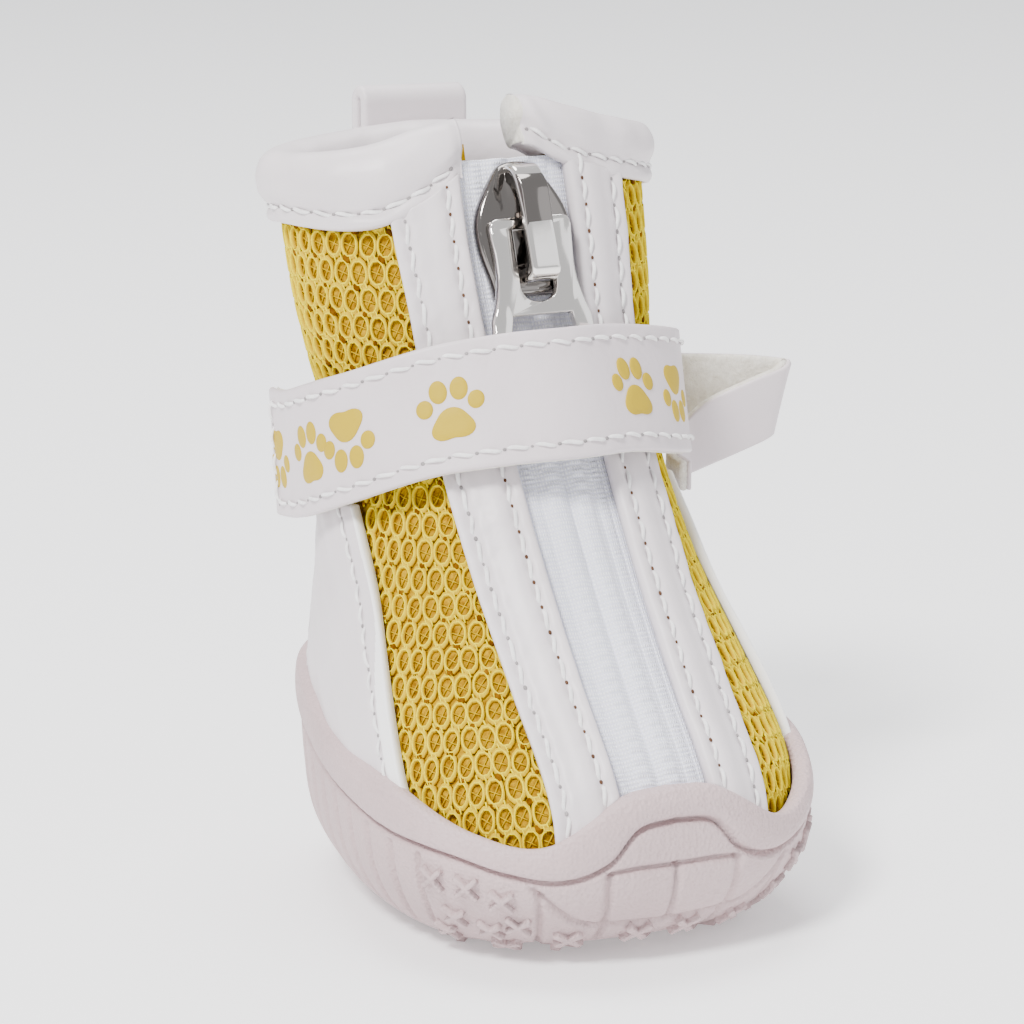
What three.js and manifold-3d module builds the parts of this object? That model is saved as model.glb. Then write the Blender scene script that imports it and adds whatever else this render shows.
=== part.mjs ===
// Zip-front dog boot for a small paw: a rubber cupsole, a hollow spacer-mesh upper and its trim.
// Millimetres, +Z up, toe toward -Y, the ground is z = 0. Angles go round the boot: 0 is the toe
// side, +90 is +X, 180 is the heel.
import * as THREE from "three";
import Module from "manifold-3d";

const wasm = await Module();
wasm.setup();

// ---------------------------------------------------------------- driving dimensions
const GAP = 0.3; // between pieces that touch
const LIP_GAP = 0.7; // from the rubber lip up to the sheet pieces
const WALL = 1.8; // upper: spacer mesh and its lining
const SHEET = 1.0; // facings and panels
const STRIP = 1.2; // strap and pull loop
const FLEECED_STRIP = 1.4; // the strap's lined rear end
const TREAD_BASE = 1.6; // underside of the outsole's plate, between the tread pads
const PAD_FOOT = 0.7; // underside of the tread pads; the X lugs reach z = 0
const FLOOR = 3.2; // inside of the outsole's cup
const INSOLE = 1.8;
const INSOLE_GAP = 1.2; // from its edge to the flared foot of the wall
const AROUND = 48; // facets round the boot

const TOE_SPRING = { from: -8, over: 20, rise: 2.8 };
const HEEL_SPRING = { from: 23, over: 8, rise: 0.7 };
const ARCH = { at: 8, reach: 7, rise: 0.5 };

// The upper's outside, a level section in each row.
const LAST = table([
  { z: 3, front: -23.5, back: 27, half: 18.6, taper: 0.14, power: 2.3 },
  { z: 9, front: -26, back: 28.2, half: 20.8, taper: 0.14, power: 2.3 },
  { z: 14, front: -26.1, back: 28.4, half: 21.2, taper: 0.13, power: 2.3 },
  { z: 18, front: -24, back: 28.2, half: 21, taper: 0.12, power: 2.3 },
  { z: 25, front: -17.9, back: 27.6, half: 19.8, taper: 0.09, power: 2.2 },
  { z: 34, front: -10.8, back: 27.2, half: 17.8, taper: 0.05, power: 2.1 },
  { z: 46, front: -2.8, back: 27.5, half: 16.6, taper: 0.02, power: 2.1 },
  { z: 54, front: 1, back: 28.3, half: 17.9, taper: 0, power: 2.1 },
  { z: 60, front: 3.4, back: 29.1, half: 18.8, taper: 0, power: 2.1 },
  { z: 70, front: 6.7, back: 30.7, half: 19.3, taper: 0, power: 2.1 },
  { z: 80, front: 9.6, back: 32.3, half: 19.2, taper: 0, power: 2.1 },
]);

// The outsole's outside.
const CUP = table([
  { z: 0.7, front: -23, back: 26.4, half: 16.2, taper: 0.14, power: 2.2 },
  { z: 1.6, front: -24.6, back: 27.6, half: 17.8, taper: 0.14, power: 2.2 },
  { z: 4, front: -26.7, back: 29.3, half: 20.1, taper: 0.14, power: 2.2 },
  { z: 8, front: -28, back: 30.3, half: 22, taper: 0.14, power: 2.3 },
  { z: 13, front: -28.2, back: 30.6, half: 22.8, taper: 0.14, power: 2.3 },
  { z: 18, front: -27, back: 30.8, half: 22.8, taper: 0.13, power: 2.3 },
  { z: 27, front: -19, back: 30.6, half: 22, taper: 0.1, power: 2.3 },
]);

// Top of the rubber lip, the same on both sides.
const LIP = table([
  { angle: 0, top: 17.6 },
  { angle: 9, top: 17 },
  { angle: 23, top: 12.8 },
  { angle: 36, top: 13.6 },
  { angle: 60, top: 17.2 },
  { angle: 90, top: 18.8 },
  { angle: 115, top: 22 },
  { angle: 180, top: 23 },
]);

// The padded collar's lower edge and its top.
const COLLAR = table([
  { angle: -180, low: 65.8, top: 74 },
  { angle: -120, low: 66, top: 73.4 },
  { angle: -88, low: 66.8, top: 73.6 },
  { angle: -60, low: 66.8, top: 74.8 },
  { angle: -42, low: 68.8, top: 76.4 },
  { angle: -25, low: 71.6, top: 77.4 },
  { angle: 5, low: 74.4, top: 79.4 },
  { angle: 27, low: 72.2, top: 78.4 },
  { angle: 75, low: 68.8, top: 75 },
  { angle: 120, low: 66.6, top: 73.8 },
  { angle: 180, low: 65.8, top: 74 },
]);
const COLLAR_ENDS = { left: 1.4, right: -5.2 }; // x of its two ends beside the zip

// Edges of the zip facings, measured from the centre line.
const FACING = table([
  { z: 10, inner: 4.7, outer: 11 },
  { z: 45, inner: 4.8, outer: 11.2 },
  { z: 58, inner: 5.4, outer: 11.8 },
  { z: 66, inner: 5.7, outer: 12.4 },
  { z: 76, inner: 5.7, outer: 12.8 },
]);
const TAPE_HALF = 4.3;
const SLOT_HALF = 4.6;
const SLOT_FOOT = 12;
const TAPE_TOP = 73.4;

const PANEL_EDGE = table([
  { z: 12, angle: 51 },
  { z: 17, angle: 56 },
  { z: 25, angle: 62 },
  { z: 33, angle: 69 },
  { z: 42, angle: 80 },
]);
const PANEL_TOP = 40;
const COUNTER = { angle: 118, top: 45 };

// The strap's two edges as it goes round the boot, and how far it stands off.
const STRAP = table([
  { angle: -119, low: 36.6, high: 49, stand: 4.2 },
  { angle: -100, low: 37.8, high: 50, stand: 2.6 },
  { angle: -70, low: 41, high: 53, stand: 2.2 },
  { angle: -42, low: 44.2, high: 56, stand: 2.8 },
  { angle: -20, low: 45.4, high: 57.2, stand: 3.8 },
  { angle: 0, low: 45.8, high: 57.6, stand: 4.9 },
  { angle: 20, low: 45.4, high: 57.2, stand: 3.4 },
  { angle: 45, low: 43.8, high: 56, stand: 2.2 },
  { angle: 64, low: 42.6, high: 54.8, stand: 1.9 },
  { angle: 77, low: 41.8, high: 54, stand: 1.9 },
]);

const STRAP_ENDS = { right: -119, left: 77 };

// The strap's lined rear end: from the heel side, out into a slack fold and back under the strap.
// `flare` is how much further out its top edge runs.
const SIDE_LOOP = [
  { x: 16.2, y: 24.6, low: 38.6, high: 49.4, flare: 0 },
  { x: 20.4, y: 21, low: 38.8, high: 49.6, flare: 0.3 },
  { x: 24.6, y: 17.4, low: 39.6, high: 49.8, flare: 0.8 },
  { x: 29.6, y: 15, low: 40.6, high: 49.6, flare: 1.4 },
  { x: 32.4, y: 13.8, low: 41.4, high: 49.2, flare: 1.9 },
  { x: 33.2, y: 12.4, low: 41.4, high: 49, flare: 2.1 },
  { x: 32.2, y: 11.1, low: 41.2, high: 48.6, flare: 1.8 },
  { x: 28.6, y: 10.7, low: 40.2, high: 47.6, flare: 1.2 },
  { x: 24.2, y: 11, low: 38.8, high: 45.8, flare: 0.6 },
  { x: 21.8, y: 11.1, low: 38, high: 43.6, flare: 0.2 },
  { x: 20.6, y: 9.6, low: 37.8, high: 41.4, flare: 0 },
  { x: 20.4, y: 6.6, low: 37.8, high: 40.8, flare: 0 },
];

const PULL_LOOP = { x: 1.6, half: 5.9, foot: 67, top: 77.4, inner: 0.5, stand: 2.2 };

const SLIDER = {
  at: 66.2, // height of its middle on the shaft
  nose: 6.6,
  tail: 6.4,
  plate: 1.1,
  lift: 0.4,
  bridge: { half: 1.45, from: -5.4, to: 6, top: 5, thick: 1.2 },
};
const PULL = {
  thick: 1,
  lift: 1.8,
  bar: 0.35, // height of the hinge bar above the hinge line
  length: 13,
  shoulder: 4.4, // half widths down the tab
  waist: 3.9,
  hip: 5.3,
  foot: 5.5,
  corner: 1.4,
  eye: { half: 2, side: -5.4, foot: -7.4 },
  window: { top: -8.7, topHalf: 3.2, foot: -11.3, footHalf: 3.8 },
};

// ---------------------------------------------------------------- reading tables
// A smooth reading of a table of named columns; the first column is what it is read by.
function table(rows) {
  const [key, ...columns] = Object.keys(rows[0]);
  const slope = (i, column) => {
    const a = rows[Math.max(i - 1, 0)];
    const b = rows[Math.min(i + 1, rows.length - 1)];
    return (b[column] - a[column]) / (b[key] - a[key]);
  };
  return (value) => {
    const at = THREE.MathUtils.clamp(value, rows[0][key], rows[rows.length - 1][key]);
    let i = 0;
    while (i < rows.length - 2 && at > rows[i + 1][key]) i++;
    const [a, b] = [rows[i], rows[i + 1]];
    const span = b[key] - a[key];
    const t = (at - a[key]) / span;
    const read = {};
    for (const column of columns) {
      const [from, to] = [slope(i, column) * span, slope(i + 1, column) * span];
      const rise = b[column] - a[column];
      read[column] = a[column] + t * (from + t * (3 * rise - 2 * from - to + t * (from + to - 2 * rise)));
    }
    return read;
  };
}

const mix = THREE.MathUtils.lerp;
const radians = THREE.MathUtils.degToRad;
const steps = (count) => Array.from({ length: count + 1 }, (_, i) => i / count);

// ---------------------------------------------------------------- the boot's forms
// A point on a form, at an angle round it and a height, grown level by `grow`.
function level(form, angle, z, grow = 0) {
  const { front, back, half, taper, power } = form(z);
  const reach = (back - front) / 2 + grow;
  const across = Math.abs(Math.sin(radians(angle)) / (half + grow));
  const along = Math.abs(Math.cos(radians(angle)) / reach);
  const radius = (across ** power + along ** power) ** (-1 / power);
  const heelward = -radius * Math.cos(radians(angle));
  const x = radius * Math.sin(radians(angle)) * (1 - (taper * heelward) / reach);
  return new THREE.Vector3(x, (front + back) / 2 + heelward, z);
}

// A point out from the upper's outside (or in, where `out` is negative), square to it.
function skin(angle, z, out = 0) {
  const round = level(LAST, angle + 0.5, z).sub(level(LAST, angle - 0.5, z));
  const up = level(LAST, angle, z + 0.2).sub(level(LAST, angle, z - 0.2));
  return level(LAST, angle, z).addScaledVector(round.cross(up).normalize(), out);
}

// The angle at which the upper's front half is x from the centre line, at a height.
function angleAt(x, z) {
  let [low, high] = [-90, 90];
  for (let i = 0; i < 24; i++) {
    const middle = (low + high) / 2;
    if (level(LAST, middle, z).x < x) low = middle;
    else high = middle;
  }
  return (low + high) / 2;
}

const wrapped = (angle) => THREE.MathUtils.euclideanModulo(angle + 180, 360) - 180;
const lipTop = (angle) => LIP(Math.abs(wrapped(angle))).top;
const collarAt = (angle) => COLLAR(wrapped(angle));

// How far the sole's line is raised at y: toe spring, arch and the heel's rounded end.
function rise(y) {
  const toe = Math.max(0, (TOE_SPRING.from - y) / TOE_SPRING.over);
  const heel = Math.max(0, (y - HEEL_SPRING.from) / HEEL_SPRING.over);
  const waist = Math.min(1, Math.abs(y - ARCH.at) / ARCH.reach);
  const arch = (ARCH.rise * (1 + Math.cos(Math.PI * waist))) / 2;
  return TOE_SPRING.rise * toe ** 2 + HEEL_SPRING.rise * heel ** 2 + arch;
}
const sprung = (form, angle, z) => z + rise(level(form, angle, z).y);

// ---------------------------------------------------------------- making solids
function geometry(points, faces) {
  const made = new THREE.BufferGeometry();
  made.setAttribute("position", new THREE.Float32BufferAttribute(points.flatMap((p) => p.toArray()), 3));
  made.setIndex(faces.flat());
  return made;
}

// Rows of points joined one to the next. Each row is a closed loop. `ends` closes the first and last
// row: "ladder" joins a row's left side to its right side, "plain" fills it as a flat face, and
// "ring" joins the last row to the first.
function loft(rows, ends = "plain") {
  const count = rows[0].length;
  const points = rows.flat();
  const faces = [];
  const strips = ends === "ring" ? rows.length : rows.length - 1;
  for (let r = 0; r < strips; r++) {
    const [a, b] = [r * count, ((r + 1) % rows.length) * count];
    for (let i = 0; i < count; i++) {
      const j = (i + 1) % count;
      faces.push([a + i, a + j, b + j], [a + i, b + j, b + i]);
    }
  }
  if (ends !== "ring") {
    const cap = ends === "ladder" ? ladder(count) : fill(rows[0]);
    const lid = ends === "ladder" ? cap : fill(rows[rows.length - 1]);
    const last = (rows.length - 1) * count;
    faces.push(...cap.map(([a, b, c]) => [a, c, b]));
    faces.push(...lid.map((face) => face.map((i) => i + last)));
  }
  return outward(points, faces);
}

// Triangles between the points of a ring that mirror each other, so that each rung is level.
function ladder(count) {
  const faces = [[0, 1, count - 1]];
  for (let k = 1; k < count / 2 - 1; k++) {
    faces.push([k, k + 1, count - k - 1], [k, count - k - 1, count - k]);
  }
  faces.push([count / 2 - 1, count / 2, count / 2 + 1]);
  return faces;
}

// Triangles that fill a nearly flat loop.
function fill(loop) {
  const normal = new THREE.Vector3();
  loop.forEach((p, i) => normal.add(p.clone().cross(loop[(i + 1) % loop.length])));
  const turn = new THREE.Quaternion().setFromUnitVectors(normal.normalize(), new THREE.Vector3(0, 0, 1));
  const flat = loop.map((p) => p.clone().applyQuaternion(turn));
  return THREE.ShapeUtils.triangulateShape(flat.map((p) => new THREE.Vector2(p.x, p.y)), []);
}

// The same surface with its faces turned to point out.
function outward(points, faces) {
  const volume = faces.reduce((sum, [a, b, c]) => {
    return sum + points[a].dot(points[b].clone().cross(points[c]));
  }, 0);
  return geometry(points, volume > 0 ? faces : faces.map(([a, b, c]) => [a, c, b]));
}

function manifold(source) {
  const indexed = welded(source.index ? source.toNonIndexed() : source);
  return new wasm.Manifold(new wasm.Mesh({
    numProp: 3,
    vertProperties: new Float32Array(indexed.attributes.position.array),
    triVerts: new Uint32Array(indexed.index.array),
  }));
}

// The same surface with its corners shared between its faces.
function welded(source) {
  const { array } = source.attributes.position;
  const found = new Map();
  const points = [];
  const order = [];
  for (let i = 0; i < array.length; i += 3) {
    const p = new THREE.Vector3(array[i], array[i + 1], array[i + 2]);
    const name = p.toArray().map((c) => c.toFixed(4)).join();
    if (!found.has(name)) found.set(name, points.push(p) - 1);
    order.push(found.get(name));
  }
  const faces = [];
  for (let i = 0; i < order.length; i += 3) {
    const [a, b, c] = order.slice(i, i + 3);
    if (a !== b && b !== c && a !== c) faces.push([a, b, c]);
  }
  return outward(points, faces);
}

function unmanifold(made) {
  const { numProp, vertProperties, triVerts } = made.getMesh();
  const points = [];
  for (let i = 0; i < vertProperties.length; i += numProp) {
    points.push(new THREE.Vector3().fromArray(vertProperties, i));
  }
  const faces = [];
  for (let i = 0; i < triVerts.length; i += 3) faces.push([...triVerts.slice(i, i + 3)]);
  return geometry(points, faces);
}

function block(x0, x1, y0, y1, z0, z1) {
  const made = new THREE.BoxGeometry(x1 - x0, y1 - y0, z1 - z0);
  return made.translate((x0 + x1) / 2, (y0 + y1) / 2, (z0 + z1) / 2);
}

// A piece of sheet that follows the upper between two depths. `place(s, t)` gives its angle and height,
// s across it and t along it.
function overlay(place, inner, outer, across = 4, along = 14) {
  const rows = steps(along).map((t) => {
    const at = steps(across).map((s) => place(s, t));
    const face = at.map(([angle, z]) => skin(angle, z, outer));
    const back = at.map(([angle, z]) => skin(angle, z, inner)).reverse();
    return [...face, ...back];
  });
  return loft(rows);
}

// A strip between two edge lines, `thick` deep toward the side that `side` names.
function strip(lows, highs, thick, side = 1) {
  const rows = lows.map((low, i) => {
    const [before, after] = [lows[Math.max(i - 1, 0)], lows[Math.min(i + 1, lows.length - 1)]];
    const away = after.clone().sub(before).cross(highs[i].clone().sub(low)).normalize();
    away.multiplyScalar(side * thick);
    return [low, highs[i], highs[i].clone().add(away), low.clone().add(away)];
  });
  return loft(rows);
}

// ---------------------------------------------------------------- outsole
const ring = (point) =>
  Array.from({ length: AROUND }, (_, i) => point((360 * i) / AROUND));

function cupRing(share) {
  return ring((angle) => {
    const foot = sprung(CUP, angle, 8);
    return level(CUP, angle, mix(foot, lipTop(angle) - 0.8, share));
  });
}

function cupShell() {
  const tread = [PAD_FOOT, TREAD_BASE, 4].map((z) =>
    ring((angle) => level(CUP, angle, z).setZ(sprung(CUP, angle, z))),
  );
  const sides = [0, 0.35, 0.7, 1].map(cupRing);
  const rim = ring((angle) => level(CUP, angle, lipTop(angle), -0.7));
  const inside = [1, 0.8, 0.6, 0.4, 0.2].map((share) =>
    ring((angle) => skin(angle, mix(sprung(LAST, angle, FLOOR), lipTop(angle), share), GAP)),
  );
  const floor = ring((angle) => {
    const z = sprung(LAST, angle, FLOOR);
    return skin(angle, z, GAP).setZ(z);
  });
  return loft([...tread, ...sides, rim, ...inside, floor], "ladder");
}

// A channel cut up to the plate along a line of [x, y] points.
function channel(line, width) {
  const path = line.map(([x, y]) => new THREE.Vector2(x, y));
  const rows = path.map((p, i) => {
    const [a, b] = [path[Math.max(i - 1, 0)], path[Math.min(i + 1, path.length - 1)]];
    const side = b.clone().sub(a).normalize().rotateAround(new THREE.Vector2(), Math.PI / 2);
    const [left, right] = [1, -1].map((way) => p.clone().addScaledVector(side, (way * width) / 2));
    const top = TREAD_BASE + rise(p.y);
    return [
      new THREE.Vector3(left.x, left.y, -2),
      new THREE.Vector3(right.x, right.y, -2),
      new THREE.Vector3(right.x, right.y, top),
      new THREE.Vector3(left.x, left.y, top),
    ];
  });
  return loft(rows);
}

const CHANNEL = 1.1;
const CROSS_CHANNELS = [
  { y: -14.6, bow: 0.8 },
  { y: 15.2, bow: 2.6 },
];
const LONG_CHANNELS = [
  { side: 10.8, waist: 9.6, from: -20, to: 24 },
  { side: 3.9, waist: 3.6, from: -22, to: 26 },
];

// A line along the tread draws in at the waist.
const drawnIn = (side, waist, y) => mix(side, waist, Math.exp(-(((y - ARCH.at) / 12) ** 2)));

function channels() {
  const cuts = CROSS_CHANNELS.map(({ y, bow }) =>
    channel(steps(8).map((t) => [mix(-24, 24, t), y + bow * (2 * t - 1) ** 2]), CHANNEL),
  );
  for (const { side, waist, from, to } of LONG_CHANNELS) {
    for (const way of [-1, 1]) {
      const along = steps(12).map((t) => mix(from, to, t));
      cuts.push(channel(along.map((y) => [way * drawnIn(side, waist, y), y]), CHANNEL));
    }
  }
  return cuts;
}

// An X-shaped lug with its foot at the sole's own line.
const LUG = { arm: 2.1, bar: 0.9, sunk: 0.3 };
function lug(x, y) {
  const outline = new THREE.Shape();
  const [reach, half] = [LUG.arm, LUG.bar / 2];
  const corners = [0, 90, 180, 270].flatMap((turn) =>
    [[reach, -half], [reach, half], [half, half]].map(([a, b]) =>
      new THREE.Vector2(a, b).rotateAround(new THREE.Vector2(), radians(turn + 45)),
    ),
  );
  outline.setFromPoints(corners);
  const made = new THREE.ExtrudeGeometry(outline, { depth: PAD_FOOT + LUG.sunk, bevelEnabled: false });
  return made.translate(x, y, rise(y));
}

// Rows of lugs between the channels, `toe` and `heel` being the lugs past the cross channels.
const LUG_PITCH = 5;
const LUG_ROWS = [
  { side: 0, waist: 0, toe: [-18.4], heel: [20.2] },
  { side: 7.4, waist: 6.6, toe: [-18.4], heel: [20.4] },
  { side: 13.5, waist: 12.4, toe: [], heel: [] },
];

function lugs() {
  const found = [];
  const middle = [-2, -1, 0, 1, 2].map((k) => k * LUG_PITCH);
  for (const { side, waist, toe, heel } of LUG_ROWS) {
    for (const y of [...toe, ...middle, ...heel]) {
      for (const way of side ? [-1, 1] : [1]) found.push(lug(way * drawnIn(side, waist, y), y));
    }
  }
  return found;
}

function outsole() {
  let made = manifold(cupShell());
  for (const cut of channels()) made = made.subtract(manifold(cut));
  for (const added of lugs()) made = made.add(manifold(added));
  return unmanifold(made);
}

// ---------------------------------------------------------------- upper and insole
function upper() {
  const heights = steps(11);
  const rows = ring((angle) => {
    const { low, top } = collarAt(angle);
    const foot = sprung(LAST, angle, FLOOR + GAP);
    const edge = mix(low, top, 0.6);
    const outside = heights.map((t) => skin(angle, mix(foot, edge, t)));
    const inside = heights.map((t) => skin(angle, mix(foot, edge, t), -WALL)).reverse();
    return [...outside, ...inside];
  });
  const shell = manifold(loft(rows, "ring"));
  const slot = block(-SLOT_HALF, SLOT_HALF, -40, 15, SLOT_FOOT, 90);
  return unmanifold(shell.subtract(manifold(slot)));
}

function insole() {
  const rows = [0, INSOLE].map((up) =>
    ring((angle) => {
      const z = sprung(LAST, angle, FLOOR + GAP) + up;
      return skin(angle, z, -WALL - INSOLE_GAP).setZ(z);
    }),
  );
  return loft(rows, "ladder");
}

// ---------------------------------------------------------------- sheet overlays
// The height just above the lip or just under the collar, at a distance x from the centre line.
function meet(x, start, edge) {
  let z = start;
  for (let i = 0; i < 12; i++) z = mix(z, edge(angleAt(x, z)), 0.5);
  return z;
}

function facing(side) {
  return overlay((s, t) => {
    const reach = (z) => mix(FACING(z).inner, FACING(z).outer, s) * side;
    const foot = meet(reach(15), 15, (angle) => lipTop(angle) + LIP_GAP);
    const head = meet(reach(72), 72, (angle) => collarAt(angle).low - GAP);
    const z = mix(foot, head, t);
    return [angleAt(reach(z), z), z];
  }, GAP, GAP + SHEET, 3, 20);
}

function sidePanel(side) {
  return overlay((s, t) => {
    const edge = PANEL_EDGE(mix(15, PANEL_TOP, t)).angle;
    const angle = mix(edge, COUNTER.angle - 0.5, s);
    const z = mix(lipTop(angle) + LIP_GAP, PANEL_TOP, t);
    return [side * angle, z];
  }, GAP, GAP + SHEET, 6, 8);
}

function heelCounter() {
  return overlay((s, t) => {
    const angle = mix(COUNTER.angle + 0.5, 359.5 - COUNTER.angle, s);
    const top = mix(PANEL_TOP, COUNTER.top, Math.sin(Math.PI * s) ** 2);
    return [angle, mix(lipTop(angle) + LIP_GAP, top, t)];
  }, GAP, GAP + SHEET, 8, 7);
}

function zipTape() {
  const tape = overlay((s, t) => {
    const z = mix(SLOT_FOOT + GAP, TAPE_TOP, t);
    return [angleAt(mix(-TAPE_HALF, TAPE_HALF, s), z), z];
  }, GAP - WALL, -0.1, 4, 18);
  const hole = block(-1.3, 1.3, -3, 3, -6, 6).rotateX(shaftLean).translate(0, ...sliderSpot);
  return unmanifold(manifold(tape).subtract(manifold(hole)));
}

// ---------------------------------------------------------------- collar, strap and loops
function collar() {
  const from = angleAt(COLLAR_ENDS.left, 75);
  const to = 360 + angleAt(COLLAR_ENDS.right, 74);
  const inner = -WALL - GAP;
  const rows = steps(AROUND).map((t) => {
    const angle = mix(from, to, t);
    const { low, top } = collarAt(angle);
    const roll = mix(low, top, 0.45);
    const seat = mix(low, top, 0.6) + GAP;
    const section = [
      [GAP, low],
      [0.9, low],
      [1.1, mix(low, top, 0.2)],
      [1.3, roll],
      [1.1, mix(low, top, 0.8)],
      [0.4, top - 0.3],
      [-0.9, top],
      [-2.6, top - 0.3],
      [inner - 1.7, mix(low, top, 0.8)],
      [inner - 1.9, roll],
      [inner - 1.3, mix(low, top, 0.1)],
      [inner, low],
      [inner, seat],
      [GAP, seat],
    ];
    return section.map(([out, z]) => skin(angle, z, out));
  });
  return loft(rows);
}

function strap() {
  const angles = steps(34).map((t) => mix(STRAP_ENDS.right, STRAP_ENDS.left, t));
  const lows = angles.map((angle) => level(LAST, angle, STRAP(angle).low, STRAP(angle).stand));
  const highs = angles.map((angle) => level(LAST, angle, STRAP(angle).high, STRAP(angle).stand));
  return strip(lows, highs, STRIP);
}

function sideLoop() {
  const line = (column, share) =>
    new THREE.CatmullRomCurve3(
      SIDE_LOOP.map((row) => new THREE.Vector3(row.x + share * row.flare, row.y, row[column])),
      false,
      "centripetal",
    ).getPoints(36);
  return strip(line("low", 0), line("high", 1), FLEECED_STRIP);
}

function pullLoop() {
  const { x, half, foot, top, inner, stand } = PULL_LOOP;
  const standing = level(LAST, 180, foot, stand).y;
  const radius = inner + STRIP;
  const line = [
    new THREE.Vector3(0, standing, foot),
    new THREE.Vector3(0, standing, top - radius),
  ];
  for (const t of steps(8).slice(1)) {
    const turn = Math.PI * t;
    const back = standing + radius * (1 - Math.cos(turn));
    line.push(new THREE.Vector3(0, back, line[1].z + radius * Math.sin(turn)));
  }
  line.push(new THREE.Vector3(0, standing + 2 * radius, foot + 1.5));
  const sides = [x - half, x + half].map((edge) => line.map((p) => p.clone().setX(edge)));
  return strip(sides[0], sides[1], STRIP);
}

// ---------------------------------------------------------------- zip slider and pull tab
// Both are drawn flat, x across, y up the shaft and z out, then leaned back to the shaft.
const shaftLean = -Math.atan2(LAST(72).front - LAST(60).front, 12);
const sliderSpot = [LAST(SLIDER.at).front, SLIDER.at];

function flatPlate(shape, depth, lift) {
  const made = new THREE.ExtrudeGeometry(shape, { depth, bevelEnabled: false, curveSegments: 8 });
  return made.translate(0, 0, lift);
}

// An anticlockwise outline from its right half, drawn from top to bottom.
function mirrored(half) {
  const right = half.getPoints(8);
  const left = right.filter((p) => Math.abs(p.x) > 1e-6).map((p) => new THREE.Vector2(-p.x, p.y));
  return new THREE.Shape([...left, ...right.reverse()]);
}

function sliderPlate(width, depth, lift) {
  const { nose, tail } = SLIDER;
  const half = new THREE.Path();
  half.moveTo(0, nose);
  half.quadraticCurveTo(width * 0.3, nose, width * 0.42, nose - 0.6);
  half.bezierCurveTo(width * 0.8, 3.6, width, 2, width, 0);
  half.bezierCurveTo(width, -3, width * 0.82, -4, width * 0.8, -tail);
  return flatPlate(mirrored(half), depth, lift);
}

function slider() {
  const { plate, lift, bridge } = SLIDER;
  const foot = lift + plate - 0.2;
  const arch = new THREE.Shape();
  const inside = bridge.top - bridge.thick;
  arch.moveTo(bridge.to, foot);
  arch.quadraticCurveTo(bridge.to - 0.2, bridge.top - 0.6, bridge.to - 2.6, bridge.top);
  arch.lineTo(bridge.from + 1.6, bridge.top);
  arch.quadraticCurveTo(bridge.from, bridge.top - 0.2, bridge.from, foot);
  arch.lineTo(bridge.from + bridge.thick, foot);
  arch.lineTo(bridge.from + bridge.thick + 0.2, inside - 0.4);
  arch.lineTo(bridge.from + bridge.thick + 0.8, inside);
  arch.lineTo(bridge.to - 3, inside);
  arch.lineTo(bridge.to - bridge.thick - 0.4, inside - 1.2);
  arch.lineTo(bridge.to - bridge.thick - 0.2, foot);
  const width = 2 * bridge.half;
  const bow = new THREE.ExtrudeGeometry(arch, { depth: width, bevelEnabled: false, curveSegments: 6 });
  bow.translate(0, 0, -bridge.half);
  bow.applyMatrix4(new THREE.Matrix4().set(0, 0, 1, 0, 1, 0, 0, 0, 0, 1, 0, 0, 0, 0, 0, 1));
  const neck = block(-0.9, 0.9, -2.5, 2.5, -WALL - 0.6, lift + 0.2);
  const back = sliderPlate(3.9, 0.8, -WALL - 1);
  const made = [bow, neck, back].reduce(
    (sum, piece) => sum.add(manifold(piece)),
    manifold(sliderPlate(4.95, plate, lift)),
  );
  return unmanifold(made);
}

function pullTab() {
  const { bar, shoulder, waist, hip, foot, corner, eye, window } = PULL;
  const top = bar + 0.65;
  const end = -PULL.length;
  const half = new THREE.Path();
  half.moveTo(shoulder - 1, top);
  half.quadraticCurveTo(shoulder, top, shoulder, top - 1);
  half.bezierCurveTo(shoulder - 0.3, -4, waist, eye.side, hip, -9);
  half.lineTo(foot, end + corner);
  half.quadraticCurveTo(foot - 0.1, end, foot - 1.5, end);
  const shape = mirrored(half);
  const hole = new THREE.Path();
  hole.moveTo(eye.half, bar - 0.65);
  hole.lineTo(eye.half, eye.side);
  hole.quadraticCurveTo(eye.half, eye.foot, 0, eye.foot);
  const cut = new THREE.Path();
  cut.moveTo(window.topHalf, window.top);
  cut.lineTo(window.footHalf, window.foot);
  shape.holes.push(mirrored(hole), mirrored(cut));
  return flatPlate(shape, PULL.thick, PULL.lift);
}

// ---------------------------------------------------------------- assembly
function finish(color, roughness, metalness = 0) {
  return new THREE.MeshStandardMaterial({ color, roughness, metalness });
}
const rubber = finish(0xd8cfd0, 0.6);
const pu = finish(0xdcd8dc, 0.45);
const yarn = finish(0xf6c81a, 0.8);
const board = finish(0xe9e2d6, 0.9);
const tapeWhite = finish(0xf4f5fa, 0.6);
const nickel = finish(0xb9b7b4, 0.25, 1);

const boot = new THREE.Group();
function add(name, shape, material) {
  const mesh = new THREE.Mesh(shape, material);
  mesh.name = name;
  boot.add(mesh);
  return mesh;
}

add("outsole", outsole(), rubber);
add("insole", insole(), board);
add("upper", upper(), yarn);
add("facing_left", facing(1), pu);
add("facing_right", facing(-1), pu);
add("side_panel_left", sidePanel(1), pu);
add("side_panel_right", sidePanel(-1), pu);
add("heel_counter", heelCounter(), pu);
add("zip_tape", zipTape(), tapeWhite);
add("collar_binding", collar(), pu);
add("strap", strap(), pu);
add("side_loop", sideLoop(), pu);
add("pull_loop", pullLoop(), pu);
for (const mesh of [add("zip_slider", slider(), nickel), add("zip_pull", pullTab(), nickel)]) {
  mesh.position.set(0, ...sliderSpot);
  mesh.rotation.x = Math.PI / 2 + shaftLean;
}

export default boot;
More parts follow.
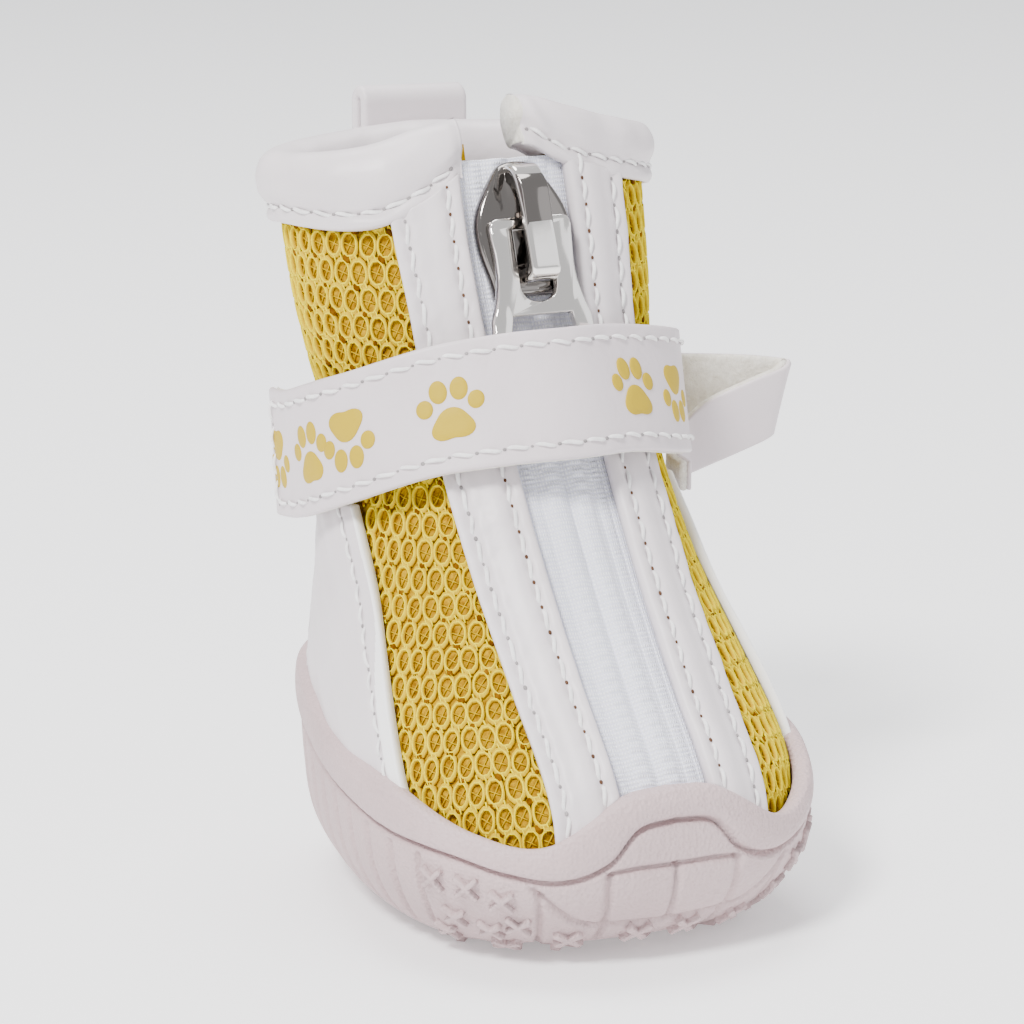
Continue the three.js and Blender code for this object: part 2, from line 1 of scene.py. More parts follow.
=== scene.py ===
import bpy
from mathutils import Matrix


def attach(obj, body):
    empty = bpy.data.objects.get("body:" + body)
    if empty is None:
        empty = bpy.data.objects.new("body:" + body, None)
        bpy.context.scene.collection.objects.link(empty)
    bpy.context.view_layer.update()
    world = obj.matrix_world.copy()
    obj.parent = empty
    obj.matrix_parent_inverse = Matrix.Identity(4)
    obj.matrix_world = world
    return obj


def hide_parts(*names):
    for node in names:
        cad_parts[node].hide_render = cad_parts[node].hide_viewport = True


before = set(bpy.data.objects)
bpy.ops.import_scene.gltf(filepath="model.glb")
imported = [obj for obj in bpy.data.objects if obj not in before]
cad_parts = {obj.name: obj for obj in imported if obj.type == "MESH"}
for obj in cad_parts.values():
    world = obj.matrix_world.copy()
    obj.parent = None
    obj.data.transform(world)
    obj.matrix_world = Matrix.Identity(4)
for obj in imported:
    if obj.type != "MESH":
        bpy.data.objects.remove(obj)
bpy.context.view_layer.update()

import math

import bmesh
import bpy
import numpy as np
from mathutils import Matrix, Vector

MM = 0.001

# %% [markdown]
# ## The tables
# A shoemaker keeps a last, a foot-shaped form that the upper is pulled over. A last can be sculpted, or
# scanned, or written down as a few level sections and read smoothly between them. The sections are used
# here, because the same few numbers also cut the frame, so the looks and the frame always agree.
# %% Sizes of the forms
LAST = np.array([  # z, front, back, half width, taper, power
    (3, -23.5, 27, 18.6, 0.14, 2.3), (9, -26, 28.2, 20.8, 0.14, 2.3), (14, -26.1, 28.4, 21.2, 0.13, 2.3),
    (18, -24, 28.2, 21, 0.12, 2.3), (25, -17.9, 27.6, 19.8, 0.09, 2.2), (34, -10.8, 27.2, 17.8, 0.05, 2.1),
    (46, -2.8, 27.5, 16.6, 0.02, 2.1), (54, 1, 28.3, 17.9, 0, 2.1), (60, 3.4, 29.1, 18.8, 0, 2.1),
    (70, 6.7, 30.7, 19.3, 0, 2.1), (80, 9.6, 32.3, 19.2, 0, 2.1),
])
CUP = np.array([  # the rubber's outside, in the same columns
    (0.7, -23, 26.4, 16.2, 0.14, 2.2), (1.6, -24.6, 27.6, 17.8, 0.14, 2.2), (4, -26.7, 29.3, 20.1, 0.14, 2.2),
    (8, -28, 30.3, 22, 0.14, 2.3), (13, -28.2, 30.6, 22.8, 0.14, 2.3), (18, -27, 30.8, 22.8, 0.13, 2.3),
    (27, -19, 30.6, 22, 0.1, 2.3),
])
LIP = np.array([(0, 17.6), (9, 17), (23, 12.8), (36, 13.6), (60, 17.2), (90, 18.8), (115, 22), (180, 23)])
GROOVE = np.array([  # the line under the lip
    (0, 14.9), (7, 14.2), (12, 11.2), (20, 9.6), (30, 10.2), (41, 11.4), (60, 12.3), (75, 13.4),
    (90, 14.4), (115, 16.6), (180, 17.4),
])
COLLAR = np.array([  # angle, lower edge, top
    (-180, 65.8, 74), (-120, 66, 73.4), (-88, 66.8, 73.6), (-60, 66.8, 74.8), (-42, 68.8, 76.4),
    (-25, 71.6, 77.4), (5, 74.4, 79.4), (27, 72.2, 78.4), (75, 68.8, 75), (120, 66.6, 73.8), (180, 65.8, 74),
])
FACING = np.array([(10, 4.7, 11), (45, 4.8, 11.2), (58, 5.4, 11.8), (66, 5.7, 12.4), (76, 5.7, 12.8)])
PANEL_EDGE = np.array([(12, 51), (17, 56), (25, 62), (33, 69), (42, 80)])
STRAP = np.array([  # angle, low, high, stand
    (-119, 36.6, 49, 4.2), (-100, 37.8, 50, 2.6), (-70, 41, 53, 2.2), (-42, 44.2, 56, 2.8),
    (-20, 45.4, 57.2, 3.8), (0, 45.8, 57.6, 4.9), (20, 45.4, 57.2, 3.4), (45, 43.8, 56, 2.2),
    (64, 42.6, 54.8, 1.9), (77, 41.8, 54, 1.9),
])
WALL, GAP, STRIP, FLEECED = 1.8, 0.3, 1.2, 1.4
PAD_FOOT, TREAD_BASE, FLOOR = 0.7, 1.6, 3.2
PANEL_TOP, COUNTER_ANGLE, COUNTER_TOP = 40, 118, 45
print("last sections:", len(LAST), "cup sections:", len(CUP))

# %% [markdown]
# A table is read by a smooth cubic between its rows. `level` gives a point on a form at a height, and
# `skin` a point square out from the upper, which is how thin layers are stacked on it.
# %% Reading the forms
def read(rows, at):
    """Smooth values of every column but the first, at places `at` along the first column."""
    keys, values = rows[:, 0], rows[:, 1:]
    at = np.clip(np.asarray(at, float), keys[0], keys[-1])
    i = np.clip(np.searchsorted(keys, at, side="right") - 1, 0, len(keys) - 2)
    every = np.arange(len(keys))
    low, high = np.maximum(every - 1, 0), np.minimum(every + 1, len(keys) - 1)
    slope = (values[high] - values[low]) / (keys[high] - keys[low])[:, None]
    span = (keys[i + 1] - keys[i])[..., None]
    t = (at - keys[i])[..., None] / span
    a, b, f, g = values[i], values[i + 1], slope[i] * span, slope[i + 1] * span
    return a + t * (f + t * (3 * (b - a) - 2 * f - g + t * (f + g - 2 * (b - a))))


def level(form, angle, z, grow=0.0):
    angle, z = np.broadcast_arrays(np.asarray(angle, float), np.asarray(z, float))
    front, back, half, taper, power = np.moveaxis(read(form, z), -1, 0)
    turn = np.radians(angle)
    reach = (back - front) / 2 + grow
    across, along = np.abs(np.sin(turn) / (half + grow)), np.abs(np.cos(turn) / reach)
    radius = (across**power + along**power) ** (-1 / power)
    heelward = -radius * np.cos(turn)
    x = radius * np.sin(turn) * (1 - taper * heelward / reach)
    return np.stack([x, (front + back) / 2 + heelward, z], -1)


def unit(v):
    return v / np.linalg.norm(v, axis=-1, keepdims=True)


def skin_out(angle, z):
    """The upper's outward direction."""
    angle, z = np.broadcast_arrays(np.asarray(angle, float), np.asarray(z, float))
    around = level(LAST, angle + 0.5, z) - level(LAST, angle - 0.5, z)
    up = level(LAST, angle, z + 0.2) - level(LAST, angle, z - 0.2)
    return unit(np.cross(around, up))


def skin(angle, z, out=0.0):
    return level(LAST, angle, z) + skin_out(angle, z) * np.asarray(out, float)[..., None]


def angle_at(x, z):
    """The angle at which the upper's front is x from its centre line."""
    x, z = np.broadcast_arrays(np.asarray(x, float), np.asarray(z, float))
    low, high = np.full(x.shape, -90.0), np.full(x.shape, 90.0)
    for _ in range(26):
        middle = (low + high) / 2
        under = level(LAST, middle, z)[..., 0] < x
        low, high = np.where(under, middle, low), np.where(under, high, middle)
    return (low + high) / 2


def wrapped(angle):
    return (np.asarray(angle, float) + 180) % 360 - 180


def lip_top(angle):
    return read(LIP, np.abs(wrapped(angle)))[..., 0]


def groove_at(angle):
    return read(GROOVE, np.abs(wrapped(angle)))[..., 0]


def collar_at(angle):
    return np.moveaxis(read(COLLAR, wrapped(angle)), -1, 0)


def rise(y):
    """How far the sole's line is lifted: toe spring, heel end and arch."""
    toe = np.maximum(0, (-8 - y) / 20)
    heel = np.maximum(0, (y - 23) / 8)
    waist = np.minimum(1, np.abs(y - 8) / 7)
    return 2.8 * toe**2 + 0.7 * heel**2 + 0.25 * (1 + np.cos(np.pi * waist))


def mix(a, b, t):
    return a + (b - a) * t


def ease(t):
    t = np.clip(t, 0, 1)
    return t * t * (3 - 2 * t)


print("toe at z 14:", level(LAST, 0, 14).round(2), "heel:", level(LAST, 180, 14).round(2))

# %% [markdown]
# ## Making meshes
# Every cloth and rubber piece here is a grid of points that follows the forms, so a stitch groove, a fold
# or a crease is only a change of depth at some of the points. `tube` closes a stack of loops into a
# solid; its UV map is in millimetres along the piece, so that weaves and grain keep their real size.
# %% Grids into solids
def mesh_piece(name, points, faces, uvs=None):
    mesh = bpy.data.meshes.new(name)
    mesh.from_pydata((np.asarray(points, float).reshape(-1, 3) * MM).tolist(), [], faces)
    if uvs is not None:
        layer = mesh.uv_layers.new(name="UVMap")
        corners = np.empty(len(mesh.loops), np.int32)
        mesh.loops.foreach_get("vertex_index", corners)
        layer.data.foreach_set("uv", np.asarray(uvs, float).reshape(-1, 2)[corners].ravel())
    mesh.polygons.foreach_set("use_smooth", [True] * len(mesh.polygons))
    piece = bpy.data.objects.new(name, mesh)
    bpy.context.scene.collection.objects.link(piece)
    return piece


def face_out(piece):
    made = bmesh.new()
    made.from_mesh(piece.data)
    bmesh.ops.remove_doubles(made, verts=made.verts, dist=1e-7)
    bmesh.ops.recalc_face_normals(made, faces=made.faces)
    made.to_mesh(piece.data)
    made.free()
    return piece


def lengths(points, axis):
    """Distance along a grid, from its first row or column."""
    step = np.linalg.norm(np.diff(points, axis=axis), axis=-1)
    zero = np.zeros_like(np.take(step, [0], axis))
    return np.concatenate([zero, np.cumsum(step, axis)], axis)


def tube(name, rows, cap=True, closed=False, uvs=None):
    """A solid skin over rows of closed loops, rows[k, i]. `cap` closes the two end loops as ladders."""
    count, around = rows.shape[:2]
    faces = []
    for r in range(count if closed else count - 1):
        a, b = r * around, ((r + 1) % count) * around
        faces += [(a + i, a + (i + 1) % around, b + (i + 1) % around, b + i) for i in range(around)]
    if cap and not closed:
        for start in (0, (count - 1) * around):
            for i in range(around // 2 - 1):
                j = around - 1 - i
                faces.append((start + i, start + i + 1, start + j - 1, start + j))
    if uvs is None:
        uvs = np.stack([lengths(rows, 1), lengths(rows, 0)], -1)
    return face_out(mesh_piece(name, rows, faces, uvs))


def sheet_on(name, place, across, along, depth, inner=GAP):
    """A sheet laid on the upper. `place(s, t)` gives its angle and height, `depth(u, v, w, h)` its
    thickness from the distances to its four edges in millimetres."""
    s, t = np.meshgrid(np.linspace(0, 1, across), np.linspace(0, 1, along))
    angle, z = place(s, t)
    flat = skin(angle, z, 0.0)
    u, v = lengths(flat, 1), lengths(flat, 0)
    wide, high = u[:, -1:], v[-1:, :]
    thick = depth(u, wide - u, v, high - v)
    out = skin_out(angle, z)
    top = flat + out * (inner + thick)[..., None]
    under = flat + out * inner
    rows = np.concatenate([top, under[:, ::-1]], 1)
    uv = np.stack([u, v], -1)
    uvs = np.concatenate([uv, uv[:, ::-1]], 1)
    return tube(name, rows, uvs=uvs), (angle, z, top, out, u, v)


def rolled(distance, thick, radius):
    """Thickness near a rounded edge."""
    d = np.clip(distance / radius, 0, 1)
    return thick - radius * 0.9 * (1 - np.sqrt(np.maximum(0, 1 - (1 - d) ** 2)))


print("mesh helpers ready")

# %% [markdown]
# ## Repeats by Geometry Nodes
# Stitches, mesh cells, tread lugs and needle holes are one small shape repeated along a line or over a
# surface. They could be copied by hand or by an array, but a node tree that puts a pattern on points
# keeps one source shape and a few named inputs. Each point carries two directions, out of the surface
# and along the row, so a stitch lies down the way the needle went.
# %% The repeating tree
def repeat_tree():
    tree = bpy.data.node_groups.new("repeat_on_points", "GeometryNodeTree")
    face = tree.interface
    face.new_socket("Points", in_out="INPUT", socket_type="NodeSocketGeometry")
    for name, kind in (("Pattern", "Object"), ("Finish", "Material"), ("Size", "Float"),
                       ("Size variation", "Float"), ("Turn variation", "Float"), ("Seed", "Int")):
        face.new_socket(name, in_out="INPUT", socket_type="NodeSocket" + kind)
    face.new_socket("Made", in_out="OUTPUT", socket_type="NodeSocketGeometry")
    new, link = tree.nodes.new, tree.links.new
    given, made = new("NodeGroupInput"), new("NodeGroupOutput")
    pattern = new("GeometryNodeObjectInfo")
    link(given.outputs["Pattern"], pattern.inputs["Object"])
    turns = []
    for name in ("out", "along"):
        named = new("GeometryNodeInputNamedAttribute")
        named.data_type = "FLOAT_VECTOR"
        named.inputs["Name"].default_value = name
        align = new("FunctionNodeAlignRotationToVector")
        align.axis = "Z" if name == "out" else "Y"
        align.pivot_axis = "AUTO" if name == "out" else "Z"
        link(named.outputs["Attribute"], align.inputs["Vector"])
        turns.append(align)
    link(turns[0].outputs["Rotation"], turns[1].inputs["Rotation"])
    size = new("FunctionNodeRandomValue")
    size.data_type = "FLOAT"
    spread = new("ShaderNodeMath")
    spread.operation = "MULTIPLY"
    link(given.outputs["Size"], spread.inputs[0])
    link(given.outputs["Size variation"], spread.inputs[1])
    for socket, way in ((2, "SUBTRACT"), (3, "ADD")):
        limit = new("ShaderNodeMath")
        limit.operation = way
        link(given.outputs["Size"], limit.inputs[0])
        link(spread.outputs[0], limit.inputs[1])
        link(limit.outputs[0], size.inputs[socket])
    link(given.outputs["Seed"], size.inputs["Seed"])
    turn = new("FunctionNodeRandomValue")
    turn.data_type = "FLOAT"
    back = new("ShaderNodeMath")
    back.operation = "MULTIPLY"
    back.inputs[1].default_value = -1
    link(given.outputs["Turn variation"], back.inputs[0])
    link(back.outputs[0], turn.inputs[2])
    link(given.outputs["Turn variation"], turn.inputs[3])
    link(given.outputs["Seed"], turn.inputs["Seed"])
    angles = new("ShaderNodeCombineXYZ")
    link(turn.outputs[1], angles.inputs["Z"])
    spin = new("FunctionNodeRotateRotation")
    spin.rotation_space = "LOCAL"
    link(turns[1].outputs["Rotation"], spin.inputs["Rotation"])
    link(angles.outputs[0], spin.inputs["Rotate By"])
    put = new("GeometryNodeInstanceOnPoints")
    link(given.outputs["Points"], put.inputs["Points"])
    link(pattern.outputs["Geometry"], put.inputs["Instance"])
    link(spin.outputs["Rotation"], put.inputs["Rotation"])
    link(size.outputs[1], put.inputs["Scale"])
    real = new("GeometryNodeRealizeInstances")
    dress = new("GeometryNodeSetMaterial")
    link(put.outputs["Instances"], real.inputs["Geometry"])
    link(real.outputs["Geometry"], dress.inputs["Geometry"])
    link(given.outputs["Finish"], dress.inputs["Material"])
    link(dress.outputs["Geometry"], made.inputs["Made"])
    return tree


REPEAT = repeat_tree()
print("repeat tree nodes:", len(REPEAT.nodes))

# %% Using the repeating tree
def repeat(name, pattern, points, out, along, finish, size=1.0, vary=0.0, turn=0.0, seed=1):
    """One plain mesh made of `pattern`, drawn flat in the XY plane in millimetres, on each point."""
    points = np.asarray(points, float).reshape(-1, 3)
    mesh = bpy.data.meshes.new(name + "_points")
    mesh.from_pydata((points * MM).tolist(), [], [])
    for key, value in (("out", out), ("along", along)):
        store = mesh.attributes.new(key, "FLOAT_VECTOR", "POINT")
        store.data.foreach_set("vector", np.asarray(value, float).reshape(-1, 3).ravel())
    holder = bpy.data.objects.new(name + "_points", mesh)
    bpy.context.scene.collection.objects.link(holder)
    nodes = holder.modifiers.new("Repeat", "NODES")
    nodes.node_group = REPEAT
    inputs = {item.name: item.identifier for item in REPEAT.interface.items_tree}
    for key, value in (("Pattern", pattern), ("Finish", finish), ("Size", float(size)),
                       ("Size variation", float(vary)), ("Turn variation", float(turn)), ("Seed", seed)):
        nodes[inputs[key]] = value
    ready = holder.evaluated_get(bpy.context.evaluated_depsgraph_get())
    baked = bpy.data.meshes.new_from_object(ready)
    baked.name = name
    baked.polygons.foreach_set("use_smooth", [True] * len(baked.polygons))
    bpy.data.objects.remove(holder)
    piece = bpy.data.objects.new(name, baked)
    bpy.context.scene.collection.objects.link(piece)
    print(name, "repeats:", len(points), "faces:", len(baked.polygons))
    return piece


def drop(*patterns):
    for pattern in patterns:
        bpy.data.objects.remove(pattern)


def dressed(piece, finish, body="boot"):
    """Gives a piece its finish and its body."""
    if finish:
        piece.data.materials.clear()
        piece.data.materials.append(finish)
    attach(piece, body)
    return piece


print("inputs:", [item.name for item in REPEAT.interface.items_tree])

# %% [markdown]
# ## Finishes
# Each material is built from a few nodes: a base colour that drifts a little, a roughness that drifts
# with it, and one or two layers of bump at the real size of the grain. Object coordinates keep the
# grain still on the piece, and UVs in millimetres carry anything woven.
# %% Node helpers
class Finish:
    """A material and short ways to add nodes to it."""

    def __init__(self, name, **inputs):
        self.material = bpy.data.materials.new(name)
        self.material.use_nodes = True
        self.tree = self.material.node_tree
        self.surface = self.tree.nodes["Principled BSDF"]
        for key, value in inputs.items():
            self.surface.inputs[key.replace("_", " ").title().replace("Ior", "IOR")].default_value = value

    def add(self, kind, links=(), settings=(), **values):
        made = self.tree.nodes.new(kind)
        for key, value in dict(settings).items():
            setattr(made, key, value)
        for key, value in values.items():
            made.inputs[key].default_value = value
        for key, source in dict(links).items():
            self.tree.links.new(source, made.inputs[key])
        return made

    def math(self, operation, a, b=0.0):
        made = self.tree.nodes.new("ShaderNodeMath")
        made.operation = operation
        for socket, value in zip(made.inputs, (a, b)):
            if isinstance(value, (int, float)):
                socket.default_value = value
            else:
                self.tree.links.new(value, socket)
        return made.outputs[0]

    def place(self, kind="Object", scale=(1, 1, 1)):
        where = self.add("ShaderNodeTexCoord").outputs[kind]
        return self.add("ShaderNodeMapping", {"Vector": where}, Scale=scale).outputs["Vector"]

    def noise(self, place, scale, detail=3.0, rough=0.5):
        return self.add("ShaderNodeTexNoise", {"Vector": place}, Scale=scale, Detail=detail,
                        Roughness=rough).outputs["Fac"]

    def cells(self, place, scale, feature="F1", out="Distance"):
        return self.add("ShaderNodeTexVoronoi", {"Vector": place}, {"feature": feature},
                        Scale=scale).outputs[out]

    def ramp(self, value, stops):
        made = self.add("ShaderNodeValToRGB", {"Fac": value})
        bar = made.color_ramp
        while len(bar.elements) < len(stops):
            bar.elements.new(0.5)
        for element, (at, colour) in zip(bar.elements, stops):
            element.position = at
            element.color = (*colour, 1) if len(colour) == 3 else colour
        return made.outputs["Color"]

    def bump(self, height, distance, strength=1.0, over=None):
        made = self.add("ShaderNodeBump", {"Height": height}, Strength=strength, Distance=distance)
        if over is not None:
            self.tree.links.new(over, made.inputs["Normal"])
        return made.outputs["Normal"]

    def wear(self, **outputs):
        for key, source in outputs.items():
            self.tree.links.new(source, self.surface.inputs[key.replace("_", " ")])
        return self.material


def greys(low, high):
    return [(0.0, (low, low, low)), (1.0, (high, high, high))]


print("finish helpers ready")

# %% [markdown]
# Moulded rubber: a warm mauve grey, nearly matt, with a fine spark-eroded grain from the mould. The grain
# is one small bump layer, and a wide noise keeps the colour from being dead even.
# %% Rubber
def rubber_finish(name, grain):
    made = Finish(name, roughness=0.52, specular_ior_level=0.35)
    place = made.place()
    wide, fine = made.noise(place, 55.0, 4.0), made.cells(place, 2600.0)
    colour = made.ramp(wide, [(0.3, (0.47, 0.355, 0.36)), (0.75, (0.58, 0.445, 0.45))])
    dusty = made.ramp(made.noise(place, 420.0, 5.0, 0.6), greys(0.46, 0.62))
    soft = made.bump(wide, 0.0004, 0.25)
    normal = made.bump(fine, 0.00012, grain, soft)
    return made.wear(Base_Color=colour, Roughness=dusty, Normal=normal)


RUBBER = rubber_finish("rubber_grained", 1.0)
print("made", RUBBER.name)

# %% [markdown]
# Coated PU: a cool light grey skin over cloth. It is smoother and shinier than rubber, with very shallow
# leather grain and slow undulation where it was pulled over the last.
# %% PU
def pu_finish(name, tint, rough=(0.34, 0.5), fuzzy=0.0):
    made = Finish(name, specular_ior_level=0.45, sheen_weight=fuzzy, sheen_roughness=0.5)
    place = made.place()
    wide = made.noise(place, 70.0, 3.0)
    grain = made.cells(place, 1500.0, "SMOOTH_F1")
    shade = tuple(0.9 * c for c in tint)
    colour = made.ramp(wide, [(0.3, shade), (0.7, tint)])
    gloss = made.ramp(made.noise(place, 260.0, 4.0), greys(*rough))
    soft = made.bump(wide, 0.0006, 0.3)
    normal = made.bump(grain, 0.00008, 0.35, soft)
    return made.wear(Base_Color=colour, Roughness=gloss, Normal=normal)


PU = pu_finish("pu_grey", (0.74, 0.68, 0.70))
PU_STRAP = pu_finish("pu_strap", (0.70, 0.625, 0.65))
PRINT = pu_finish("print_yellow", (0.50, 0.345, 0.0), (0.6, 0.7))
RAW_EDGE = pu_finish("pu_raw_edge", (0.95, 0.94, 0.93), (0.7, 0.85), 0.3)
print("made", PU.name, PU_STRAP.name, PRINT.name, RAW_EDGE.name)

# %% [markdown]
# Threads, lining and tape are cloth. Thread shows its twist as slanting lines; the lining is a brushed
# fleece; the tape is woven in fine ribs. Sheen gives the soft bright edge of cloth.
# %% Thread, fleece, lining, tape and needle-hole shade
def cloth_finish(name, low, high, scale, bump, sheen=0.35):
    made = Finish(name, roughness=0.75, specular_ior_level=0.25, sheen_weight=sheen, sheen_roughness=0.4)
    place = made.place()
    fuzz = made.noise(place, scale, 6.0, 0.7)
    colour = made.ramp(fuzz, [(0.3, low), (0.7, high)])
    return made.wear(Base_Color=colour, Normal=made.bump(fuzz, bump, 0.8))


def tape_finish():
    made = Finish("tape_woven", roughness=0.42, specular_ior_level=0.4, sheen_weight=0.3,
                  sheen_roughness=0.35)
    place = made.place("UV")
    warp = made.add("ShaderNodeTexWave", {"Vector": place}, {"bands_direction": "X"}, Scale=1.15,
                    Distortion=0.4).outputs["Fac"]
    weft = made.add("ShaderNodeTexWave", {"Vector": place}, {"bands_direction": "Y"}, Scale=0.72,
                    Distortion=0.6).outputs["Fac"]
    both = made.math("MULTIPLY", warp, weft)
    # The weave's low places are coloured darker and lavender: painted shade in the weave.
    colour = made.ramp(both, [(0.0, (0.70, 0.71, 0.83)), (0.6, (0.93, 0.94, 0.98))])
    return made.wear(Base_Color=colour, Normal=made.bump(both, 0.00016, 0.55))


THREAD = cloth_finish("thread_white", (0.72, 0.71, 0.71), (0.97, 0.96, 0.95), 900.0, 0.0001)
FLEECE = cloth_finish("fleece_cream", (0.66, 0.62, 0.54), (0.88, 0.85, 0.78), 1300.0, 0.0004, 0.6)
INSIDE = cloth_finish("lining_grey", (0.46, 0.40, 0.385), (0.60, 0.54, 0.52), 700.0, 0.0003, 0.4)
# Painted shade for the needle-hole pits: dark brown beside the zip, grey elsewhere.
HOLE_SHADE = cloth_finish("needle_hole", (0.05, 0.022, 0.01), (0.13, 0.06, 0.03), 900.0, 0.0001, 0.0)
NEEDLE_SHADE = cloth_finish("needle_shade_grey", (0.20, 0.185, 0.185), (0.36, 0.335, 0.335), 900.0, 0.0001, 0.0)
TAPE = tape_finish()
print("made", THREAD.name, FLEECE.name, INSIDE.name, HOLE_SHADE.name, NEEDLE_SHADE.name, TAPE.name)

# %% [markdown]
# The spacer mesh has two knitted faces held apart by fine yarn. From outside, bright strands ring each
# cell, and a deeper, more orange layer with small dark gaps shows through. The strands are modelled; this
# finish is the layer behind them, and its darker orange is partly the yarn's own colour and partly painted
# shade in the cells.
# %% Yarn
def yarn_finish(name, stops, scale, bump, lit_shade=False):
    made = Finish(name, roughness=0.75, specular_ior_level=0.06)
    place = made.place()
    fibre = made.noise(place, scale, 5.0, 0.65)
    # With lit_shade the colour follows painted light: a painted highlight on each strand's top and painted
    # shade in its low parts, stirred by the fibre noise.
    if lit_shade:
        shade = made.add("ShaderNodeAttribute", settings={"attribute_name": "lit_shade"}).outputs["Fac"]
        mottle_and_shade = made.math("ADD", shade, made.math("MULTIPLY", made.math("SUBTRACT", fibre, 0.5), 0.5))
    else:
        mottle_and_shade = made.math("MULTIPLY", fibre, made.ramp(made.cells(place, 1150.0), greys(0.25, 1.2)))
    return made.wear(Base_Color=made.ramp(mottle_and_shade, stops), Normal=made.bump(fibre, bump, 0.9))


# The back layer's darker, more orange colours are partly the yarn's own and partly painted shade in the
# cells.
YARN_BACK_SHADED = yarn_finish("yarn_back_shaded", [
    (0.1, (0.13, 0.045, 0.0)), (0.3, (0.38, 0.20, 0.0)), (0.55, (0.56, 0.345, 0.0)),
], 1500.0, 0.0004)
# The strands' colours run from painted shade at their foot to a painted highlight on their top.
YARN = yarn_finish("yarn_strand", [
    (0.0, (0.20, 0.08, 0.0)), (0.38, (0.48, 0.285, 0.0)), (0.62, (0.58, 0.40, 0.0)),
    (0.85, (0.68, 0.51, 0.0)), (1.0, (0.85, 0.70, 0.0)),
], 2600.0, 0.0001, True)
# Dark brown painted shade for the small holes between the cells.
YARN_HOLE_SHADE = yarn_finish("yarn_hole_shade", [(0.1, (0.07, 0.02, 0.0)), (0.6, (0.22, 0.09, 0.0))], 1500.0, 0.0002)
print("made", YARN_BACK_SHADED.name, YARN.name, YARN_HOLE_SHADE.name)

# %% [markdown]
# The slider and its pull are zinc castings, tumbled smooth and plated with bright nickel. Plating wants a
# low roughness with a trace of ripple, because a perfect mirror looks like glass.
# %% Nickel
def nickel_finish(name, colour, rough):
    made = Finish(name, metallic=1.0, base_color=(*colour, 1))
    place = made.place()
    ripple = made.noise(place, 120.0, 3.0)
    scuff = made.noise(place, 900.0, 6.0, 0.7)
    gloss = made.ramp(scuff, greys(*rough))
    return made.wear(Roughness=gloss, Normal=made.bump(ripple, 0.0003, 0.12))


NICKEL = nickel_finish("nickel_bright", (0.78, 0.75, 0.72), (0.06, 0.16))
# A darker copy of the same nickel: painted shade for the dark surroundings the slider reflects.
NICKEL_SHADED = nickel_finish("nickel_shaded", (0.20, 0.185, 0.175), (0.06, 0.16))
print("made", NICKEL.name, NICKEL_SHADED.name)

# %% [markdown]
# ## Outsole
# The sole is one moulding: a tread with channels and X lugs, a sidewall with blocks and ribs, and a wavy
# lip that laps over the upper. It could be a box carved with booleans; here it is one polar grid that runs
# from the middle of the tread out, up the wall, over the lip and down inside, so each groove is a dip in
# the grid and the whole mould stays one closed skin.
# %% Tread and wall relief
SOLE_STEPS = 580
CROSS_CHANNELS = ((-14.6, 0.8), (15.2, 2.6))
LONG_CHANNELS = ((10.8, 9.6, -20, 24), (3.9, 3.6, -22, 26))


def drawn_in(side, waist, y):
    return mix(side, waist, np.exp(-(((y - 8) / 12) ** 2)))


def trench(distance, half=0.55, slope=0.35):
    return 1 - ease((np.abs(distance) - half) / slope + 0.5)


def tread_height(x, y):
    cut = np.zeros_like(x)
    for middle, bow in CROSS_CHANNELS:
        cut = np.maximum(cut, trench(y - middle - bow * (x / 24) ** 2))
    for side, waist, front, back in LONG_CHANNELS:
        cut = np.maximum(cut, trench(np.abs(x) - drawn_in(side, waist, y)) * (y > front) * (y < back))
    return rise(y) + mix(PAD_FOOT, TREAD_BASE, cut)


def wall_point(angle, q):
    """The rubber's outside; q runs from the tread's edge, 0.7, to the lip, 18."""
    low = level(CUP, angle, np.minimum(q, 8))
    foot = np.minimum(q, 8) + rise(low[..., 1])
    z = np.where(q < 8, foot, mix(foot, lip_top(angle), np.clip((q - 8) / 10, 0, 1)))
    point = level(CUP, angle, np.where(q < 8, mix(q, z, ease(q / 8)), z))
    point[..., 2] = z
    return point


AROUND = np.linspace(-180, 180, 1441)
GIRTH = lengths(level(CUP, AROUND, 8.0), 0)
GIRTH -= np.interp(0, AROUND, GIRTH)
WALL_LINES = [  # polylines of |angle| and height: toe blocks, toe curve, panels
    [(0, 4.5), (0, 10.6)], [(12, 2.6), (12, 10.3)], [(0, 10.6), (7, 10.6), (12, 10.3)],
    [(0, 4.5), (15, 4.7)], [(15, 4.7), (18, 5.3), (21, 6.6), (25, 8.8), (27, 9.8)],
    [(24, 1.6), (24, 8.2)], [(50, 0.8), (50, 11.6)],
]


def wall_relief(angle, z):
    side = np.abs(wrapped(angle))
    s = np.interp(side, AROUND, GIRTH)
    top, line = lip_top(angle), groove_at(angle)
    depth = -1.05 * np.exp(-(((z - line) / 0.27) ** 2))
    lip = np.clip((z - line) / (top - line), 0, 1)
    depth += 0.42 * np.sin(np.pi * lip) ** 0.8
    below = ease((line - 0.4 - z) / 0.7)
    for points in WALL_LINES:
        at = [(np.interp(a, AROUND, GIRTH), h) for a, h in points]
        gap = np.full(s.shape, 99.0)
        for (s0, z0), (s1, z1) in zip(at[:-1], at[1:]):
            long = (s1 - s0) ** 2 + (z1 - z0) ** 2
            t = np.clip(((s - s0) * (s1 - s0) + (z - z0) * (z1 - z0)) / long, 0, 1)
            gap = np.minimum(gap, np.hypot(s - s0 - t * (s1 - s0), z - z0 - t * (z1 - z0)))
        depth += -0.8 * np.exp(-((gap / 0.26) ** 2)) * below
    ribs = np.abs(((side - 50) / 9.3 + 0.5) % 1 - 0.5) * 9.3 * 0.38
    lower = ease((z - 1.2) / 1.5) * (side > 53)
    depth += -0.65 * np.exp(-((ribs / 0.38) ** 2)) * below * lower
    return depth


print("girth of the cup:", round(float(GIRTH[-1] - GIRTH[0]), 1), "mm")

